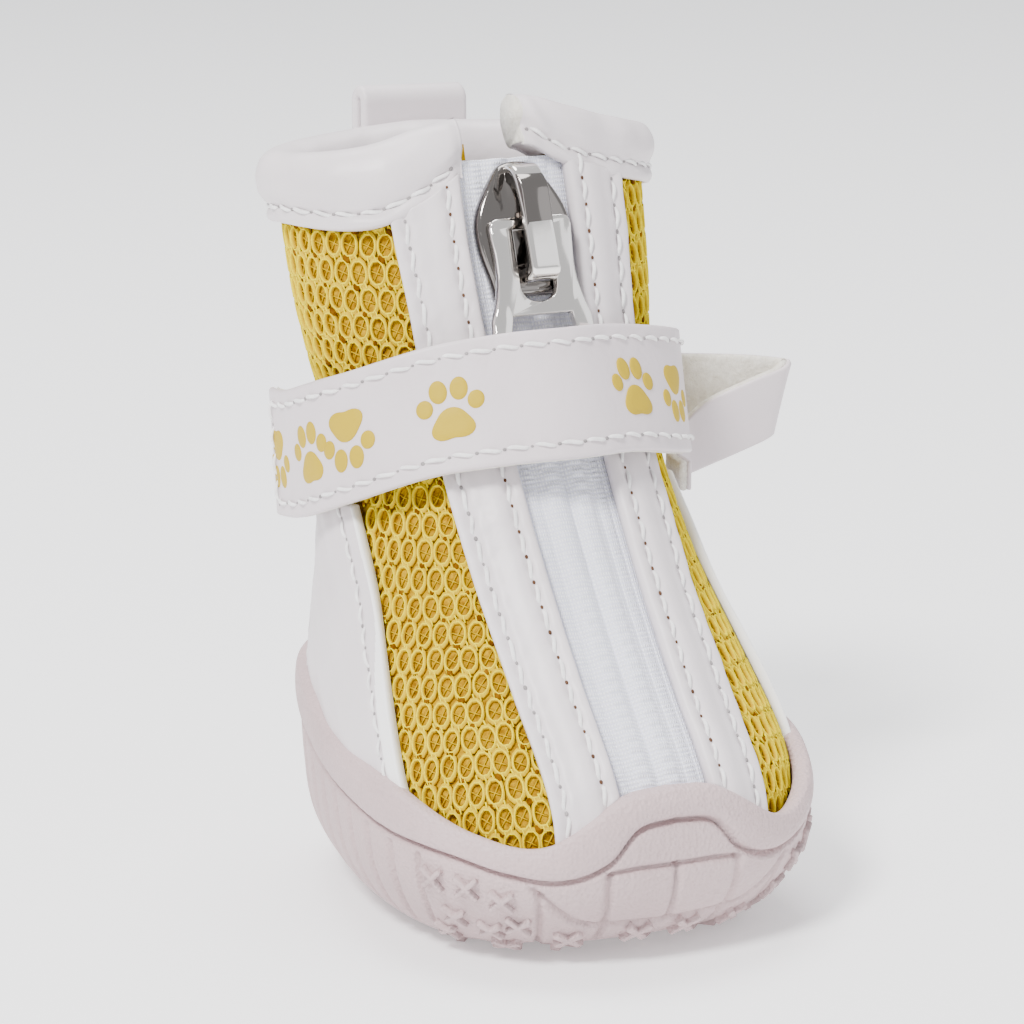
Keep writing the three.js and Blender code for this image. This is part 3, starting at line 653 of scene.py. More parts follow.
# %% The rubber body
def outsole():
    angle = np.linspace(0, 360, SOLE_STEPS, endpoint=False)[None]
    edge = level(CUP, angle, 0.7)
    middle = np.array([0, 2, 0.0])
    share = np.linspace(0.02, 1, 34)[:, None, None] ** 0.9
    bottom = middle + share * (edge - middle)
    bottom[..., 2] = tread_height(bottom[..., 0], bottom[..., 1])
    q = np.linspace(0.95, 17.4, 92)[:, None]
    wall = wall_point(angle, q)
    out = unit(np.cross(np.gradient(wall, axis=1), np.gradient(wall, axis=0)))
    wall = wall + out * wall_relief(np.broadcast_to(angle, wall.shape[:2]), wall[..., 2])[..., None]
    top = lip_top(angle)
    inner = skin(angle, top - 0.5, GAP)
    outer = wall[-1:]
    turn = np.linspace(0.12, 0.88, 7)[:, None, None] * np.pi
    rim = mix(outer, inner, (1 - np.cos(turn)) / 2)
    rim[..., 2] += (np.sin(turn) * 0.55)[..., 0]
    foot = FLOOR + rise(level(LAST, angle, FLOOR)[..., 1])
    inside = np.concatenate([skin(angle, mix(top - 0.5, foot, t), GAP) for t in np.linspace(0, 1, 8)])
    floor = np.array([0, 2, 0.0]) + np.array([0.6, 0.25, 0.02])[:, None, None] * (inside[-1:] - middle)
    floor[..., 2] = FLOOR + rise(floor[..., 1])
    rows = np.concatenate([bottom, wall, rim, inside, floor])
    return tube("outsole_rubber", rows)


SOLE = outsole()
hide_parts("outsole")
dressed(SOLE, RUBBER)
print("outsole faces:", len(SOLE.data.polygons))

# %% [markdown]
# The X lugs grip sideways and forwards. One chamfered cross is put on points of the tread, and a smaller
# one, lower, on the sidewall panels.
# %% X lugs
def cross_pattern(name, arm, bar, height, chamfer):
    corners = []
    for turn in range(4):
        for a, b in ((arm, -bar), (arm, bar), (bar, bar)):
            t = math.radians(90 * turn + 45)
            corners.append((a * math.cos(t) - b * math.sin(t), a * math.sin(t) + b * math.cos(t)))
    flat = np.array(corners)
    inset = flat * (1 - chamfer / np.linalg.norm(flat, axis=1, keepdims=True))
    rings = [(flat, 0), (flat, height - chamfer), (inset, height)]
    points = np.array([[(x, y, z) for x, y in ring] for ring, z in rings])
    faces = [(r * 12 + i, r * 12 + (i + 1) % 12, (r + 1) * 12 + (i + 1) % 12, (r + 1) * 12 + i)
             for r in range(2) for i in range(12)]
    faces += [tuple(range(24, 36)), tuple(range(11, -1, -1))]
    return mesh_piece(name, points, faces)


def lug_points():
    found = []
    for side, waist, ends in ((0, 0, (-18.4, 20.2)), (7.4, 6.6, (-18.4, 20.4)), (13.5, 12.4, ())):
        for y in (*ends, -10, -5, 0, 5, 10):
            for way in (-1, 1) if side else (1,):
                x = way * float(drawn_in(side, waist, y))
                found.append((x, y, PAD_FOOT + 0.3 + float(rise(y))))
    return np.array(found)


big_x = cross_pattern("big_x", 2.1, 0.45, 1.0, 0.16)
at = lug_points()
down = np.tile([0, 0, -1.0], (len(at), 1))
LUGS = repeat("x_lugs", big_x, at, down, np.tile([0, 1.0, 0], (len(at), 1)), RUBBER)
LUGS.data.polygons.foreach_set("use_smooth", [False] * len(LUGS.data.polygons))
dressed(LUGS, None)

# %% X reliefs on the wall
def wall_marks(places):
    angle = np.array([sign * a for a, _ in places for sign in (-1, 1)], float)
    q = np.array([h for _, h in places for _ in (-1, 1)], float)
    here = wall_point(angle, q)
    around, up = wall_point(angle + 0.5, q) - here, wall_point(angle, q + 0.2) - here
    out = unit(np.cross(around, up))
    return here - out * 0.25, out, unit(up)


small_x = cross_pattern("small_x", 1.55, 0.26, 0.8, 0.14)
at, out, up = wall_marks([(46, 8.6), (38, 7.6), (31, 6.2), (42, 4.4), (34, 3), (28, 3.4), (46, 2.4)])
MARKS = repeat("x_marks", small_x, at, out, up, RUBBER, turn=0.12, seed=5)
dressed(MARKS, None)
at, out, up = wall_marks([(5, 1.5), (18, 1.5), (31, 1.1)])
EDGE_LUGS = repeat("x_edge_lugs", big_x, at, out, up, RUBBER, size=0.8, turn=0.1, seed=8)
EDGE_LUGS.data.polygons.foreach_set("use_smooth", [False] * len(EDGE_LUGS.data.polygons))
dressed(EDGE_LUGS, None)
drop(big_x, small_x)

# %% [markdown]
# ## Upper
# The wall is the thick spacer mesh: a deep orange-yellow layer with its lining behind it. It is made open
# down the front, where the zip goes, by letting its two ends stop at the facings.
# %% Spacer mesh wall and its lining
WALL_STEPS = 200  # across each half of the wall


def upper_wall():
    s = np.linspace(0, 1, WALL_STEPS)[:, None]
    t = np.linspace(0, 1, 64)[None]
    front = 4.6
    foot = FLOOR + GAP + 1.0
    def place(t):
        z0 = mix(foot, 70.0, t)
        a0 = angle_at(front, z0)
        angle = mix(a0, 360 - a0, s)
        low, top = collar_at(angle)
        z = mix(foot, mix(low, top, 0.5), t)
        return angle, z
    angle, z = place(t)
    outside = skin(angle, z, -0.45)
    inside = skin(angle, z, -WALL)[:, ::-1]
    piece = tube("upper_mesh_wall", np.concatenate([outside, inside], 1))
    return piece, t.shape[1]


UPPER, heights = upper_wall()
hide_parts("upper")
# The mesh layer wears the partly shaded orange finish; the lining faces inside.
dressed(UPPER, YARN_BACK_SHADED)
UPPER.data.materials.append(INSIDE)
for face in UPPER.data.polygons[: (WALL_STEPS - 1) * 2 * heights]:
    face.material_index = int(face.index % (2 * heights) >= heights)
print("upper faces:", len(UPPER.data.polygons))

# %% [markdown]
# The outer knit is a honeycomb of strands. A displaced sheet could fake it, but real strands catch light
# on top and leave true shadows in the cells; their colour adds a painted highlight on top and painted
# shade low down as well. One cell, a hexagonal loop with two fine cross yarns, is put on a staggered
# lattice that starts at the facing's edge, only where the mesh is bare. The gaps between cells get small
# pits painted dark brown as the shade inside the holes.
# %% One cell of the knit
CELL_WIDE, CELL_HIGH, CELL_SIDES = 1.8, 2.75, 14


def cell_pattern():
    turn = np.linspace(0, 2 * np.pi, CELL_SIDES, endpoint=False)
    side_half = 0.31 * CELL_HIGH  # the upright sides; the pointed ends fit between the next row's cells
    slant = math.atan2(CELL_WIDE / 2, CELL_HIGH - 2 * side_half)
    reach = CELL_WIDE / 2 * math.cos(slant) + side_half * math.sin(slant)
    walls = [(0, CELL_WIDE / 2), (math.pi, CELL_WIDE / 2)]
    walls += [(a, reach) for a in (slant, math.pi - slant, math.pi + slant, -slant)]
    border = sum(np.maximum(np.cos(turn - a) / far, 0) ** 14.0 for a, far in walls) ** (-1 / 14.0)
    hole = ((np.cos(turn) / 0.7) ** 2 + (np.sin(turn) / 1.15) ** 2) ** -0.5
    band = mix(border, hole + 0.22, 0.5)
    # Each ring's third number is painted light: high on the strand's top as a painted highlight, low deep in
    # the cell as painted shade.
    rings = [(border, -0.45, 0.1), (border, -0.1, 0.42), (band, 0.01, 0.62), (hole + 0.14, 0.04, 0.7),
             (hole + 0.08, 0.17, 1.0), (hole, 0.13, 0.9), (hole - 0.09, -0.12, 0.45),
             (hole - 0.14, -0.45, 0.1)]
    points, lit_shades = [], []
    for radius, z, lit_shade in rings:
        points += [(r * math.cos(a), r * math.sin(a), z) for r, a in zip(radius, turn)]
        lit_shades += [lit_shade] * CELL_SIDES
    faces = []
    for a in range(len(rings)):
        b = (a + 1) % len(rings)
        for i in range(CELL_SIDES):
            j = (i + 1) % CELL_SIDES
            faces.append((a * CELL_SIDES + i, a * CELL_SIDES + j, b * CELL_SIDES + j, b * CELL_SIDES + i))
    # The deep cross yarns take painted shade and the high short ones a painted highlight, by their last
    # number.
    yarns = [((-0.5, -0.8), (0.45, 0.8), -0.3, 0.5), ((-0.6, 0.25), (0.55, -0.35), -0.3, 0.5)]
    yarns += [((0.12 * up, 1.1 * up), (-0.1 * up, 1.85 * up), -0.02, 1.0) for up in (-1, 1)]
    for start, end, deep, lit_shade in yarns:
        base = len(points)
        side = np.array([-(end[1] - start[1]), end[0] - start[0]])
        side = side / np.linalg.norm(side) * 0.1
        for x, y in (start, end):
            points += [(x + side[0], y + side[1], deep), (x, y, deep + 0.13),
                       (x - side[0], y - side[1], deep)]
        lit_shades += [lit_shade] * 6
        faces += [(base + i, base + (i + 1) % 3, base + 3 + (i + 1) % 3, base + 3 + i) for i in range(3)]
        faces += [(base + 2, base + 1, base), (base + 3, base + 4, base + 5)]
    piece = mesh_piece("cell", points, faces)
    piece.data.attributes.new("lit_shade", "FLOAT", "POINT").data.foreach_set("value", lit_shades)
    return face_out(piece)


cell = cell_pattern()
print("cell faces:", len(cell.data.polygons))

# %% The lattice of cells
KNIT_LEVEL, ROW_SHIFT = 52, 0.2


def bare_mesh(a, h, side):
    """Whether a spot on the wall is open mesh, or only just under the edge of a piece laid on it."""
    covered = a > read(PANEL_EDGE, h)[0] + 1.5 and h < PANEL_TOP - 1
    if a > COUNTER_ANGLE:
        share = (a - COUNTER_ANGLE) / (180 - COUNTER_ANGLE) / 2
        covered = h < mix(PANEL_TOP, COUNTER_TOP, math.sin(math.pi * share) ** 2) - 1
    return lip_top(a) - 1.2 < h < collar_at(side * a)[0] + 1.2 and not covered


def lattice():
    angles, probe = np.linspace(0, 180, 361), np.linspace(8, 78, 281)
    climb = lengths(skin(angles[None], probe[:, None]), 0)
    climb -= climb[np.argmin(np.abs(probe - KNIT_LEVEL))]
    cells, eyelets = [], []
    rng = np.random.default_rng(11)
    for k in np.arange(-20, 13, 0.5):
        z = np.array([np.interp(k * CELL_HIGH, climb[:, j], probe) for j in range(len(angles))])
        line = skin(angles, z)
        first = int(np.argmax(np.abs(line[:, 0]) > read(FACING, z)[:, 1] - 0.8))
        arc = lengths(line, 0)
        whole = k == int(k)
        begin = CELL_WIDE * ((ROW_SHIFT * k) % 1 + (0 if whole else 0.5))
        for at in np.arange(arc[first] + begin, arc[-1] - 0.4, CELL_WIDE * (1 if whole else 2)):
            a = float(np.interp(at, arc, angles))
            h = float(np.interp(a, angles, z))
            for side in (-1, 1):
                slip = rng.uniform(-0.1, 0.1, 2)
                if bare_mesh(a, h, side):
                    (cells if whole else eyelets).append((side * a + 3 * slip[0], h + slip[1]))
    return np.array(cells), np.array(eyelets)


def laid(name, pattern, spots, finish, lift, **options):
    at, out = skin(spots[:, 0], spots[:, 1], lift), skin_out(spots[:, 0], spots[:, 1])
    up = skin(spots[:, 0], spots[:, 1] + 0.2) - skin(spots[:, 0], spots[:, 1])
    return dressed(repeat(name, pattern, at, out, unit(up), finish, **options), None)


def pit_pattern(radius=0.16):
    rows = [[(radius * k * math.cos(a), 1.25 * radius * k * math.sin(a), z)
             for a in np.linspace(0, 2 * math.pi, 8, endpoint=False)]
            for k, z in ((0.2, 0.03), (1, 0.015), (1, -0.15), (0.2, -0.2))]
    return tube("pit", np.array(rows))


PIT = pit_pattern()
cells, eyelets = lattice()
laid("mesh_strands", cell, cells, YARN, -0.07, vary=0.04, turn=0.1, seed=3)
# Each small hole between the cells is a shallow pit painted dark brown as the shade inside it.
laid("mesh_eyelets", PIT, eyelets, YARN_HOLE_SHADE, -0.02, size=1.9, vary=0.3, turn=0.5, seed=9)
drop(cell)

# %% [markdown]
# ## Stitches
# A lockstitch shows as short twisted lengths that dive into needle holes. One length, bowed at its
# middle, and one small pit are repeated at the stitch pitch along any line of points. The pit is
# coloured as painted shade: grey for most rows, dark brown beside the zip.
# %% Stitch patterns and rows
def stitch_pattern(length=2.3, radius=0.22):
    rows = []
    for t in np.linspace(-1, 1, 9):
        y, z = t * length / 2, 0.3 * math.cos(t * math.pi / 2) - 0.08
        thin = radius * (0.3 + 0.7 * math.sqrt(max(0.0, 1 - abs(t) ** 3)))
        lean = 0.13 * t + 0.05 * math.sin(t * math.pi)
        rows.append([(thin * math.cos(a) + lean, y, z + 0.8 * thin * math.sin(a))
                     for a in np.linspace(0, 2 * math.pi, 7, endpoint=False)])
    return tube("stitch", np.array(rows))


def along_line(line, out, pitch, start=0.5):
    """Points at a pitch along a line, with the surface's direction and the row's at each."""
    run = lengths(line, 0)
    at = np.arange(pitch * start, run[-1], pitch)
    pick = lambda values: np.stack([np.interp(at, run, values[:, c]) for c in range(3)], -1)
    return pick(line), unit(pick(out)), unit(pick(np.gradient(line, axis=0)))


class Seam:
    """Collects the rows of one piece's stitching."""

    def __init__(self, pitch=2.7):
        self.pitch, self.rows, self.pits = pitch, [], []

    def row(self, line, out, lift=0.0):
        self.rows.append(along_line(line + out * lift, out, self.pitch))
        self.pits.append(along_line(line + out * lift, out, self.pitch, 0.0))
        return self

    def sew(self, name, slot, size=1.0, seed=2, hole=None):
        rows = [np.concatenate(part) for part in zip(*self.rows)]
        pits = [np.concatenate(part) for part in zip(*self.pits)]
        thread = repeat("stitches_" + name, STITCH, *rows, THREAD, size=size, vary=0.06, turn=0.08, seed=seed)
        # The pits carry painted shade in the needle holes.
        holes = repeat("needle_holes_" + name, PIT, *pits, hole or NEEDLE_SHADE, size=size, vary=0.25, seed=seed)
        dressed(thread, None)
        dressed(holes, None)


STITCH = stitch_pattern()
print("stitch faces:", len(STITCH.data.polygons), "pit faces:", len(PIT.data.polygons))

# %% [markdown]
# ## Facings
# Each facing is a PU strip beside the zip. Its zip edge is turned under, so it is thick and round, and its
# outer edge is cut raw. Two rows of stitching pull it down into shallow valleys, and the strip puffs up
# between them.
# %% Facings
def valley(distance, depth=0.38, width=0.5):
    return -depth * np.exp(-((distance / width) ** 2))


def meet(x, start, edge):
    """The height at which a line at x from the middle meets the lip or the collar."""
    z = np.full(np.shape(x), float(start))
    for _ in range(14):
        z = mix(z, edge(angle_at(x, z)), 0.5)
    return z


def facing(side):
    def place(s, t):
        foot = meet(side * mix(*read(FACING, 15.0), s), 15, lambda a: lip_top(a) - 0.5)
        head = meet(side * mix(*read(FACING, 72.0), s), 72, lambda a: collar_at(a)[0] + 0.5)
        z = mix(foot, head, t)
        inner, outer = np.moveaxis(read(FACING, z), -1, 0)
        return angle_at(side * mix(inner, outer, s), z), z

    def depth(u, rest, v, high):
        base = rolled(u, 1.12, 0.62) - 0.22 * ease((u - 2.2) / 2.5)
        edge = rolled(rest, 0, 0.22)
        puff = 0.13 * np.exp(-(((u - 3.4) / 1.0) ** 2))
        slow = 0.05 * np.sin(v * 0.42 + side) + 0.03 * np.sin(v * 1.1 + 2 * side)
        near = np.exp(-((u - 1.7) ** 2)) + np.exp(-((rest - 1.4) ** 2))
        pucker = 0.07 * np.cos(2 * np.pi * v / FACING_SEAM.pitch) * near
        return base + edge + valley(u - 1.7) + valley(rest - 1.4) + puff + slow + pucker

    piece, (angle, z, top, out, u, v) = sheet_on(
        "facing_left_pu" if side > 0 else "facing_right_pu", place, 44, 260, depth)
    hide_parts("facing_left" if side > 0 else "facing_right")
    dressed(piece, PU)
    for distance in (1.7, None):
        column = []
        for k in range(len(u)):
            want = distance if distance else u[k, -1] - 1.4
            column.append(np.interp(want, u[k], np.arange(u.shape[1])))
        column = np.array(column)
        low = np.floor(column).astype(int)
        part = (column - low)[:, None]
        rows = np.arange(len(u))
        line = mix(top[rows, low], top[rows, np.minimum(low + 1, u.shape[1] - 1)], part)
        (ZIP_SIDE_SEAM if distance else FACING_SEAM).row(line, out[rows, low], 0.06)
    return piece


FACING_SEAM, ZIP_SIDE_SEAM = Seam(), Seam()
for side in (1, -1):
    facing(side)
FACING_SEAM.sew("facings", "pu")
# Beside the zip the needle holes take the dark brown painted shade.
ZIP_SIDE_SEAM.sew("beside_zip", "pu", seed=4, hole=HOLE_SHADE)

# %% [markdown]
# ## Side panels and heel counter
# The panels stiffen the sides of the foot. Their front edges are cut raw, so the pale backing of the PU
# shows as a white line that widens toward the sole.
# %% Side panels
def side_panel(side):
    def place(s, t):
        s = s**1.7
        edge = read(PANEL_EDGE, mix(15, PANEL_TOP, t))[..., 0]
        angle = mix(edge, COUNTER_ANGLE - 0.5, s)
        z = mix(lip_top(angle) - 0.5, PANEL_TOP, t)
        return side * angle, z

    def depth(u, rest, v, high):
        slow = 0.08 * np.sin(v * 0.3 + u * 0.25) + 0.04 * np.sin(u * 0.9 - v * 0.5)
        return rolled(u, 1.0, 0.3) + rolled(high, 0, 0.3) + valley(u - 2.6, 0.22) + slow - 0.02

    piece, (angle, z, top, out, u, v) = sheet_on(
        "side_panel_left_pu" if side > 0 else "side_panel_right_pu", place, PANEL_ACROSS, PANEL_UP, depth)
    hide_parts("side_panel_left" if side > 0 else "side_panel_right")
    dressed(piece, PU)
    piece.data.materials.append(RAW_EDGE)
    around = 2 * PANEL_ACROSS
    for face in piece.data.polygons[: (PANEL_UP - 1) * around]:
        row, i = divmod(face.index, around)
        share = row / (PANEL_UP - 1)
        band = 0.3 + 1.75 * ease((0.6 - share) / 0.45)
        face.material_index = int(i >= PANEL_ACROSS or u[row, min(i, PANEL_ACROSS - 1)] < band)
    line = np.array([top[k, np.argmin(np.abs(u[k] - 2.6))] for k in range(len(u))])
    way = np.array([out[k, np.argmin(np.abs(u[k] - 2.6))] for k in range(len(u))])
    PANEL_SEAM.row(line, way, 0.06)
    return piece


PANEL_SEAM = Seam(2.4)
PANEL_ACROSS, PANEL_UP = 60, 110  # grid points
PANELS = [side_panel(1), side_panel(-1)]
print("panel faces:", [len(p.data.polygons) for p in PANELS])

# %% Heel counter
def heel_counter():
    def place(s, t):
        angle = mix(COUNTER_ANGLE + 0.2, 359.8 - COUNTER_ANGLE, s)
        top = mix(PANEL_TOP, COUNTER_TOP, np.sin(np.pi * s) ** 2)
        return angle, mix(lip_top(angle) - 0.5, top, t)

    def depth(u, rest, v, high):
        ends = rolled(u, 1.05, 0.3) + rolled(rest, 0, 0.3) + rolled(high, 0, 0.35)
        return ends + valley(high - 1.6) + valley(u - 1.5) + valley(rest - 1.5)

    piece, (angle, z, top, out, u, v) = sheet_on("heel_counter_pu", place, 130, 80, depth)
    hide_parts("heel_counter")
    dressed(piece, PU)
    high = v[-1:, :] - v
    pick = np.argmin(np.abs(high - 1.6), 0)
    columns = np.arange(4, 126)
    PANEL_SEAM.row(top[pick[columns], columns], out[pick[columns], columns], 0.06)
    for want in (u - 1.5, u[:, -1:] - u - 1.5):
        column = np.argmin(np.abs(want), 1)
        rows = np.arange(0, 72)
        PANEL_SEAM.row(top[rows, column[rows]], out[rows, column[rows]], 0.06)
    return piece


heel_counter()
PANEL_SEAM.sew("panels", "pu", 0.9)

# %% [markdown]
# ## Zip
# The zip is sewn in face down, so the front shows the two woven tapes with the coil as soft ridges under
# them. Ribs, ridges and the seam between the tapes are all small changes of height on one fine grid.
# %% Zip tape
def zip_tape():
    def place(s, t):
        z = mix(11.6, 73.2, t)
        half = read(FACING, z)[..., 0] + 1.7
        return angle_at(mix(-half, half, s), z), z

    def depth(u, rest, v, high):
        x = u - (u + rest) / 2
        far = np.abs(x)
        height = 0.32 + 0.42 * np.exp(-(((far - 1.45) / 0.85) ** 4)) - 0.3 * np.exp(-((x / 0.16) ** 2))
        height += 0.09 * np.cos(2 * np.pi * v / 1.27) * np.exp(-(((far - 1.5) / 0.6) ** 4))
        height += 0.12 * np.cos(2 * np.pi * v / 0.55) * np.exp(-(((far - 3.75) / 0.42) ** 4))
        height -= 0.16 * np.exp(-(((far - 3.05) / 0.16) ** 2)) + 0.16 * np.exp(-(((far - 4.35) / 0.16) ** 2))
        return height

    piece, rest = sheet_on("zip_tape_woven", place, 76, 420, depth, inner=-0.42)
    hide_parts("zip_tape")
    return dressed(piece, TAPE)


ZIP = zip_tape()
print("zip tape faces:", len(ZIP.data.polygons))

# %% [markdown]
# ## Padded collar
# The collar is PU folded over foam: a flat hem outside, one row of stitching, then a soft roll over the top
# and down inside. Its section is read from a ring of control points and lofted round the boot, and a few
# broad and narrow waves give it the creases of stuffed leather.
# %% Padded collar
def smooth_ring(points, count):
    """A closed smooth curve through a ring of points, as rows of arrays."""
    n = len(points)
    t = np.linspace(0, n, count, endpoint=False)
    i = t.astype(int)
    f = (t - i)[:, None, None]
    p0, p1, p2, p3 = (points[(i + k) % n] for k in (-1, 0, 1, 2))
    return p1 + 0.5 * f * (p2 - p0 + f * (2 * p0 - 5 * p1 + 4 * p2 - p3 + f * (3 * (p1 - p2) + p3 - p0)))


def waves(u, v, seed, count=9, low=0.05, high=0.35):
    """A soft random surface from a few seeded waves, between about -1 and 1."""
    rng = np.random.default_rng(seed)
    total = np.zeros(np.broadcast(u, v).shape)
    for _ in range(count):
        heading, rate = rng.uniform(-0.9, 0.9), rng.uniform(low, high) * 2 * np.pi
        total += np.sin(rate * (u * math.cos(heading) + v * math.sin(heading)) + rng.uniform(0, 7))
    return total / math.sqrt(count)


def collar():
    first, last = float(angle_at(1.4, 75)), 360 + float(angle_at(-5.2, 74))
    angle = np.linspace(first, last, 360)
    low, top = collar_at(angle)
    high = top - low
    inner = -WALL - GAP
    hem = 1.5
    across = np.abs(level(LAST, angle, 72.0)[:, 0])
    slot = low + mix(0.04, 0.6, ease((across - 4.2) / 0.8)) * high
    table = [
        (0.35, low), (0.95, low - 0.05), (1.2, low + 0.5), (1.02, low + hem - 0.35), (0.85, low + hem),
        (1.25, low + hem + 0.5), (1.75, low + hem + 0.22 * high), (1.8, low + 0.66 * high),
        (1.2, low + 0.87 * high), (0.2, top - 0.15), (-1.1, top), (-2.6, top - 0.35),
        (inner - 1.5, low + 0.82 * high), (inner - 2.0, low + 0.52 * high), (inner - 1.4, low + 0.18 * high),
        (inner - 0.3, low), (inner, mix(low, slot, 0.2)), (inner, slot), (GAP, slot),
        (GAP, mix(low, slot, 0.2)),
    ]
    # axes: point, (out, z), angle
    ring = np.array([np.stack([np.full(angle.shape, out), z]) for out, z in table])
    ring = smooth_ring(ring, 96)
    out, z = ring[:, 0].T, ring[:, 1].T
    way = angle[:, None]
    run = lengths(level(LAST, angle, 70.0), 0)[:, None]
    turn = np.linspace(0, 24, 96)[None]
    free = ease((out - 0.5) / 0.7) + ease((-out - 2.6) / 0.8) + ease((z - top[:, None] + 2.5) / 2)
    outside = np.clip(free, 0, 1)
    soft = 0.2 * waves(run, turn, 4, 9, 0.02, 0.09) + 0.1 * waves(run, turn, 9, 9, 0.1, 0.28)
    ends = np.exp(-(run / 5)) + np.exp(-((run[-1] - run) / 5))
    fold = 0.2 * np.sin(turn * 0.9 + run * 1.1) * ends
    end_round = 0.55 * (np.exp(-((run / 0.8) ** 2)) + np.exp(-(((run[-1] - run) / 0.8) ** 2)))
    out = out + (soft + fold) * outside - end_round * np.sign(out + 1) * outside
    points = skin(np.broadcast_to(way, z.shape), z, out)
    piece = tube("collar_padded", points)
    hem_at = np.argmin(np.abs(z[0, :30] - (low[0] + hem)) + (out[0, :30] < 0.5) * 9)
    line, facing_out = points[:, hem_at], skin_out(angle, z[:, hem_at])
    return piece, line, facing_out


COLLAR_PIECE, collar_line, collar_out = collar()
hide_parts("collar_binding")
dressed(COLLAR_PIECE, PU)
COLLAR_PIECE.data.materials.append(FLEECE)
cap_faces = list(COLLAR_PIECE.data.polygons)[359 * 96:]
for face in cap_faces:
    face.material_index = 1
COLLAR_SEAM = Seam(2.6)
COLLAR_SEAM.row(collar_line[3:-3], collar_out[3:-3], 0.08).sew("collar", "pu", 0.95, 6)
print("collar faces:", len(COLLAR_PIECE.data.polygons), "cap faces:", len(cap_faces))

# %% [markdown]
# ## Straps and loops
# A strap is a ribbon: two edge lines, a thickness and rounded borders. One function lofts them all, and
# keeps the outer skin and the inner fleece as two layers, because that is how the real strap is glued up.
# %% Ribbons
def ribbon(name, low, high, out, bottom, top, finish, across=22, crown=0.0, fuzz=0.0, ends=0.35):
    """A solid layer between depths `bottom` and `top` over the line pair low-high."""
    w = (1 - np.cos(np.linspace(0, 1, across) * np.pi)) / 2
    w = mix(w, np.linspace(0, 1, across), 0.6)
    flat = low[:, None] + (high - low)[:, None] * w[None, :, None]
    v, u = lengths(flat, 0), lengths(flat, 1)
    edge = np.minimum(np.minimum(u, u[:, -1:] - u), np.minimum(v, v[-1:] - v) + 0.01)
    half = (top - bottom) / 2
    thick = rolled(edge, half, min(half, ends))
    bulge = crown * np.sin(np.pi * w)[None, :] + 0.03 * waves(v, u, 21, 7, 0.03, 0.12)
    centre = flat + out[:, None] * ((top + bottom) / 2 + bulge)[..., None]
    rough = fuzz * np.random.default_rng(5).uniform(-1, 1, thick.shape)
    face = centre + out[:, None] * thick[..., None]
    back = centre - out[:, None] * (thick + rough)[..., None]
    rows = np.concatenate([face, back[:, ::-1]], 1)
    uv = np.stack([u, v], -1)
    piece = tube(name, rows, uvs=np.concatenate([uv, uv[:, ::-1]], 1))
    dressed(piece, finish)
    return piece, face, u, v


def lines_out(low, high, side=1):
    return side * unit(np.cross(np.gradient((low + high) / 2, axis=0), high - low))


print("ribbon helper ready")

# %% [markdown]
# The instep strap crosses the front with a paw-print pattern. It is cut from PU with a fleece back, sewn
# round its edge, and its free end lies at the boot's right side.
# %% Instep strap
def strap_lines(count=240, first=-119, last=77):
    angle = np.linspace(first, last, count)
    low_z, high_z, stand = np.moveaxis(read(STRAP, angle), -1, 0)
    return level(LAST, angle, low_z, 0) , level(LAST, angle, high_z, 0), angle, low_z, high_z, stand


def strap_edges(count=200):
    _, _, angle, low_z, high_z, stand = strap_lines(count)
    low = np.array([level(LAST, a, z, s) for a, z, s in zip(angle, low_z, stand)])
    high = np.array([level(LAST, a, z, s) for a, z, s in zip(angle, high_z, stand)])
    return angle, low, high


strap_angle, strap_low, strap_high = strap_edges()
strap_out = lines_out(strap_low, strap_high)
STRAP_SKIN, strap_face, strap_u, strap_v = ribbon(
    "strap_pu", strap_low, strap_high, strap_out, 0.45, STRIP, PU_STRAP, 40, ends=0.22)
STRAP_BACK, *_ = ribbon(
    "strap_fleece", strap_low, strap_high, strap_out, 0.0, 0.5, FLEECE, 40, fuzz=0.06)
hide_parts("strap")
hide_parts("strap")
STRAP_SEAM = Seam(2.7)
width = strap_u[:, -1]
for share in (1.45, -1.45):
    want = share if share > 0 else width + share
    away = strap_u - np.reshape(want, (-1, 1)) if share < 0 else strap_u - want
    k = np.clip(np.argmin(np.abs(away), 1), 0, 39)
    line = strap_face[np.arange(len(k)), k]
    STRAP_SEAM.row(line[5:], strap_out[5:], 0.05)
end = int(np.argmin(np.abs(strap_v[:, 0] - 1.8)))
STRAP_SEAM.row(strap_face[end, 5:-5], np.repeat(strap_out[end:end + 1], 30, 0), 0.05)
STRAP_SEAM.sew("strap", "pu", 0.95, 7)
print("strap length:", round(float(strap_v[:, 20][-1]), 1), "mm, width:", round(float(width.mean()), 1), "mm")

# %% [markdown]
# The print is a generic paw: one broad pad and four toes. It is a coloured film on the PU, so each spot is a
# very thin closed blister laid on the strap's own surface.
# %% Paw prints
def pad_outline(kind, count=36):
    a = np.linspace(0, 2 * np.pi, count, endpoint=False)
    if kind == "toe":
        return np.stack([np.cos(a), np.sin(a)], -1)
    r = 1 + 0.1 * np.cos(3 * (a - np.pi / 2)) - 0.12 * np.exp(-(((a - 1.5 * np.pi) / 0.45) ** 2))
    return np.stack([r * np.cos(a), r * np.sin(a)], -1)


PAW = [("pad", 0, -1.35, 2.0, 1.6, 0), ("toe", -2.45, 0.75, 0.8, 0.92, 15), ("toe", -1.0, 2.1, 0.88, 1.15, 5),
       ("toe", 1.0, 2.1, 0.88, 1.15, -5), ("toe", 2.45, 0.75, 0.8, 0.92, -15)]


def strap_spot(along, across, lift):
    """A point on the strap's face, from millimetres along and across it."""
    k = np.interp(along, strap_v[:, 20], np.arange(len(strap_v)))
    k = np.clip(k, 0, len(strap_v) - 1.001)
    i = k.astype(int)
    f = (k - i)[..., None]
    low, high = mix(strap_low[i], strap_low[i + 1], f), mix(strap_high[i], strap_high[i + 1], f)
    out = mix(strap_out[i], strap_out[i + 1], f)
    share = (across / np.linalg.norm(high - low, axis=-1))[..., None]
    return mix(low, high, share) + out * (STRIP + lift)[..., None]


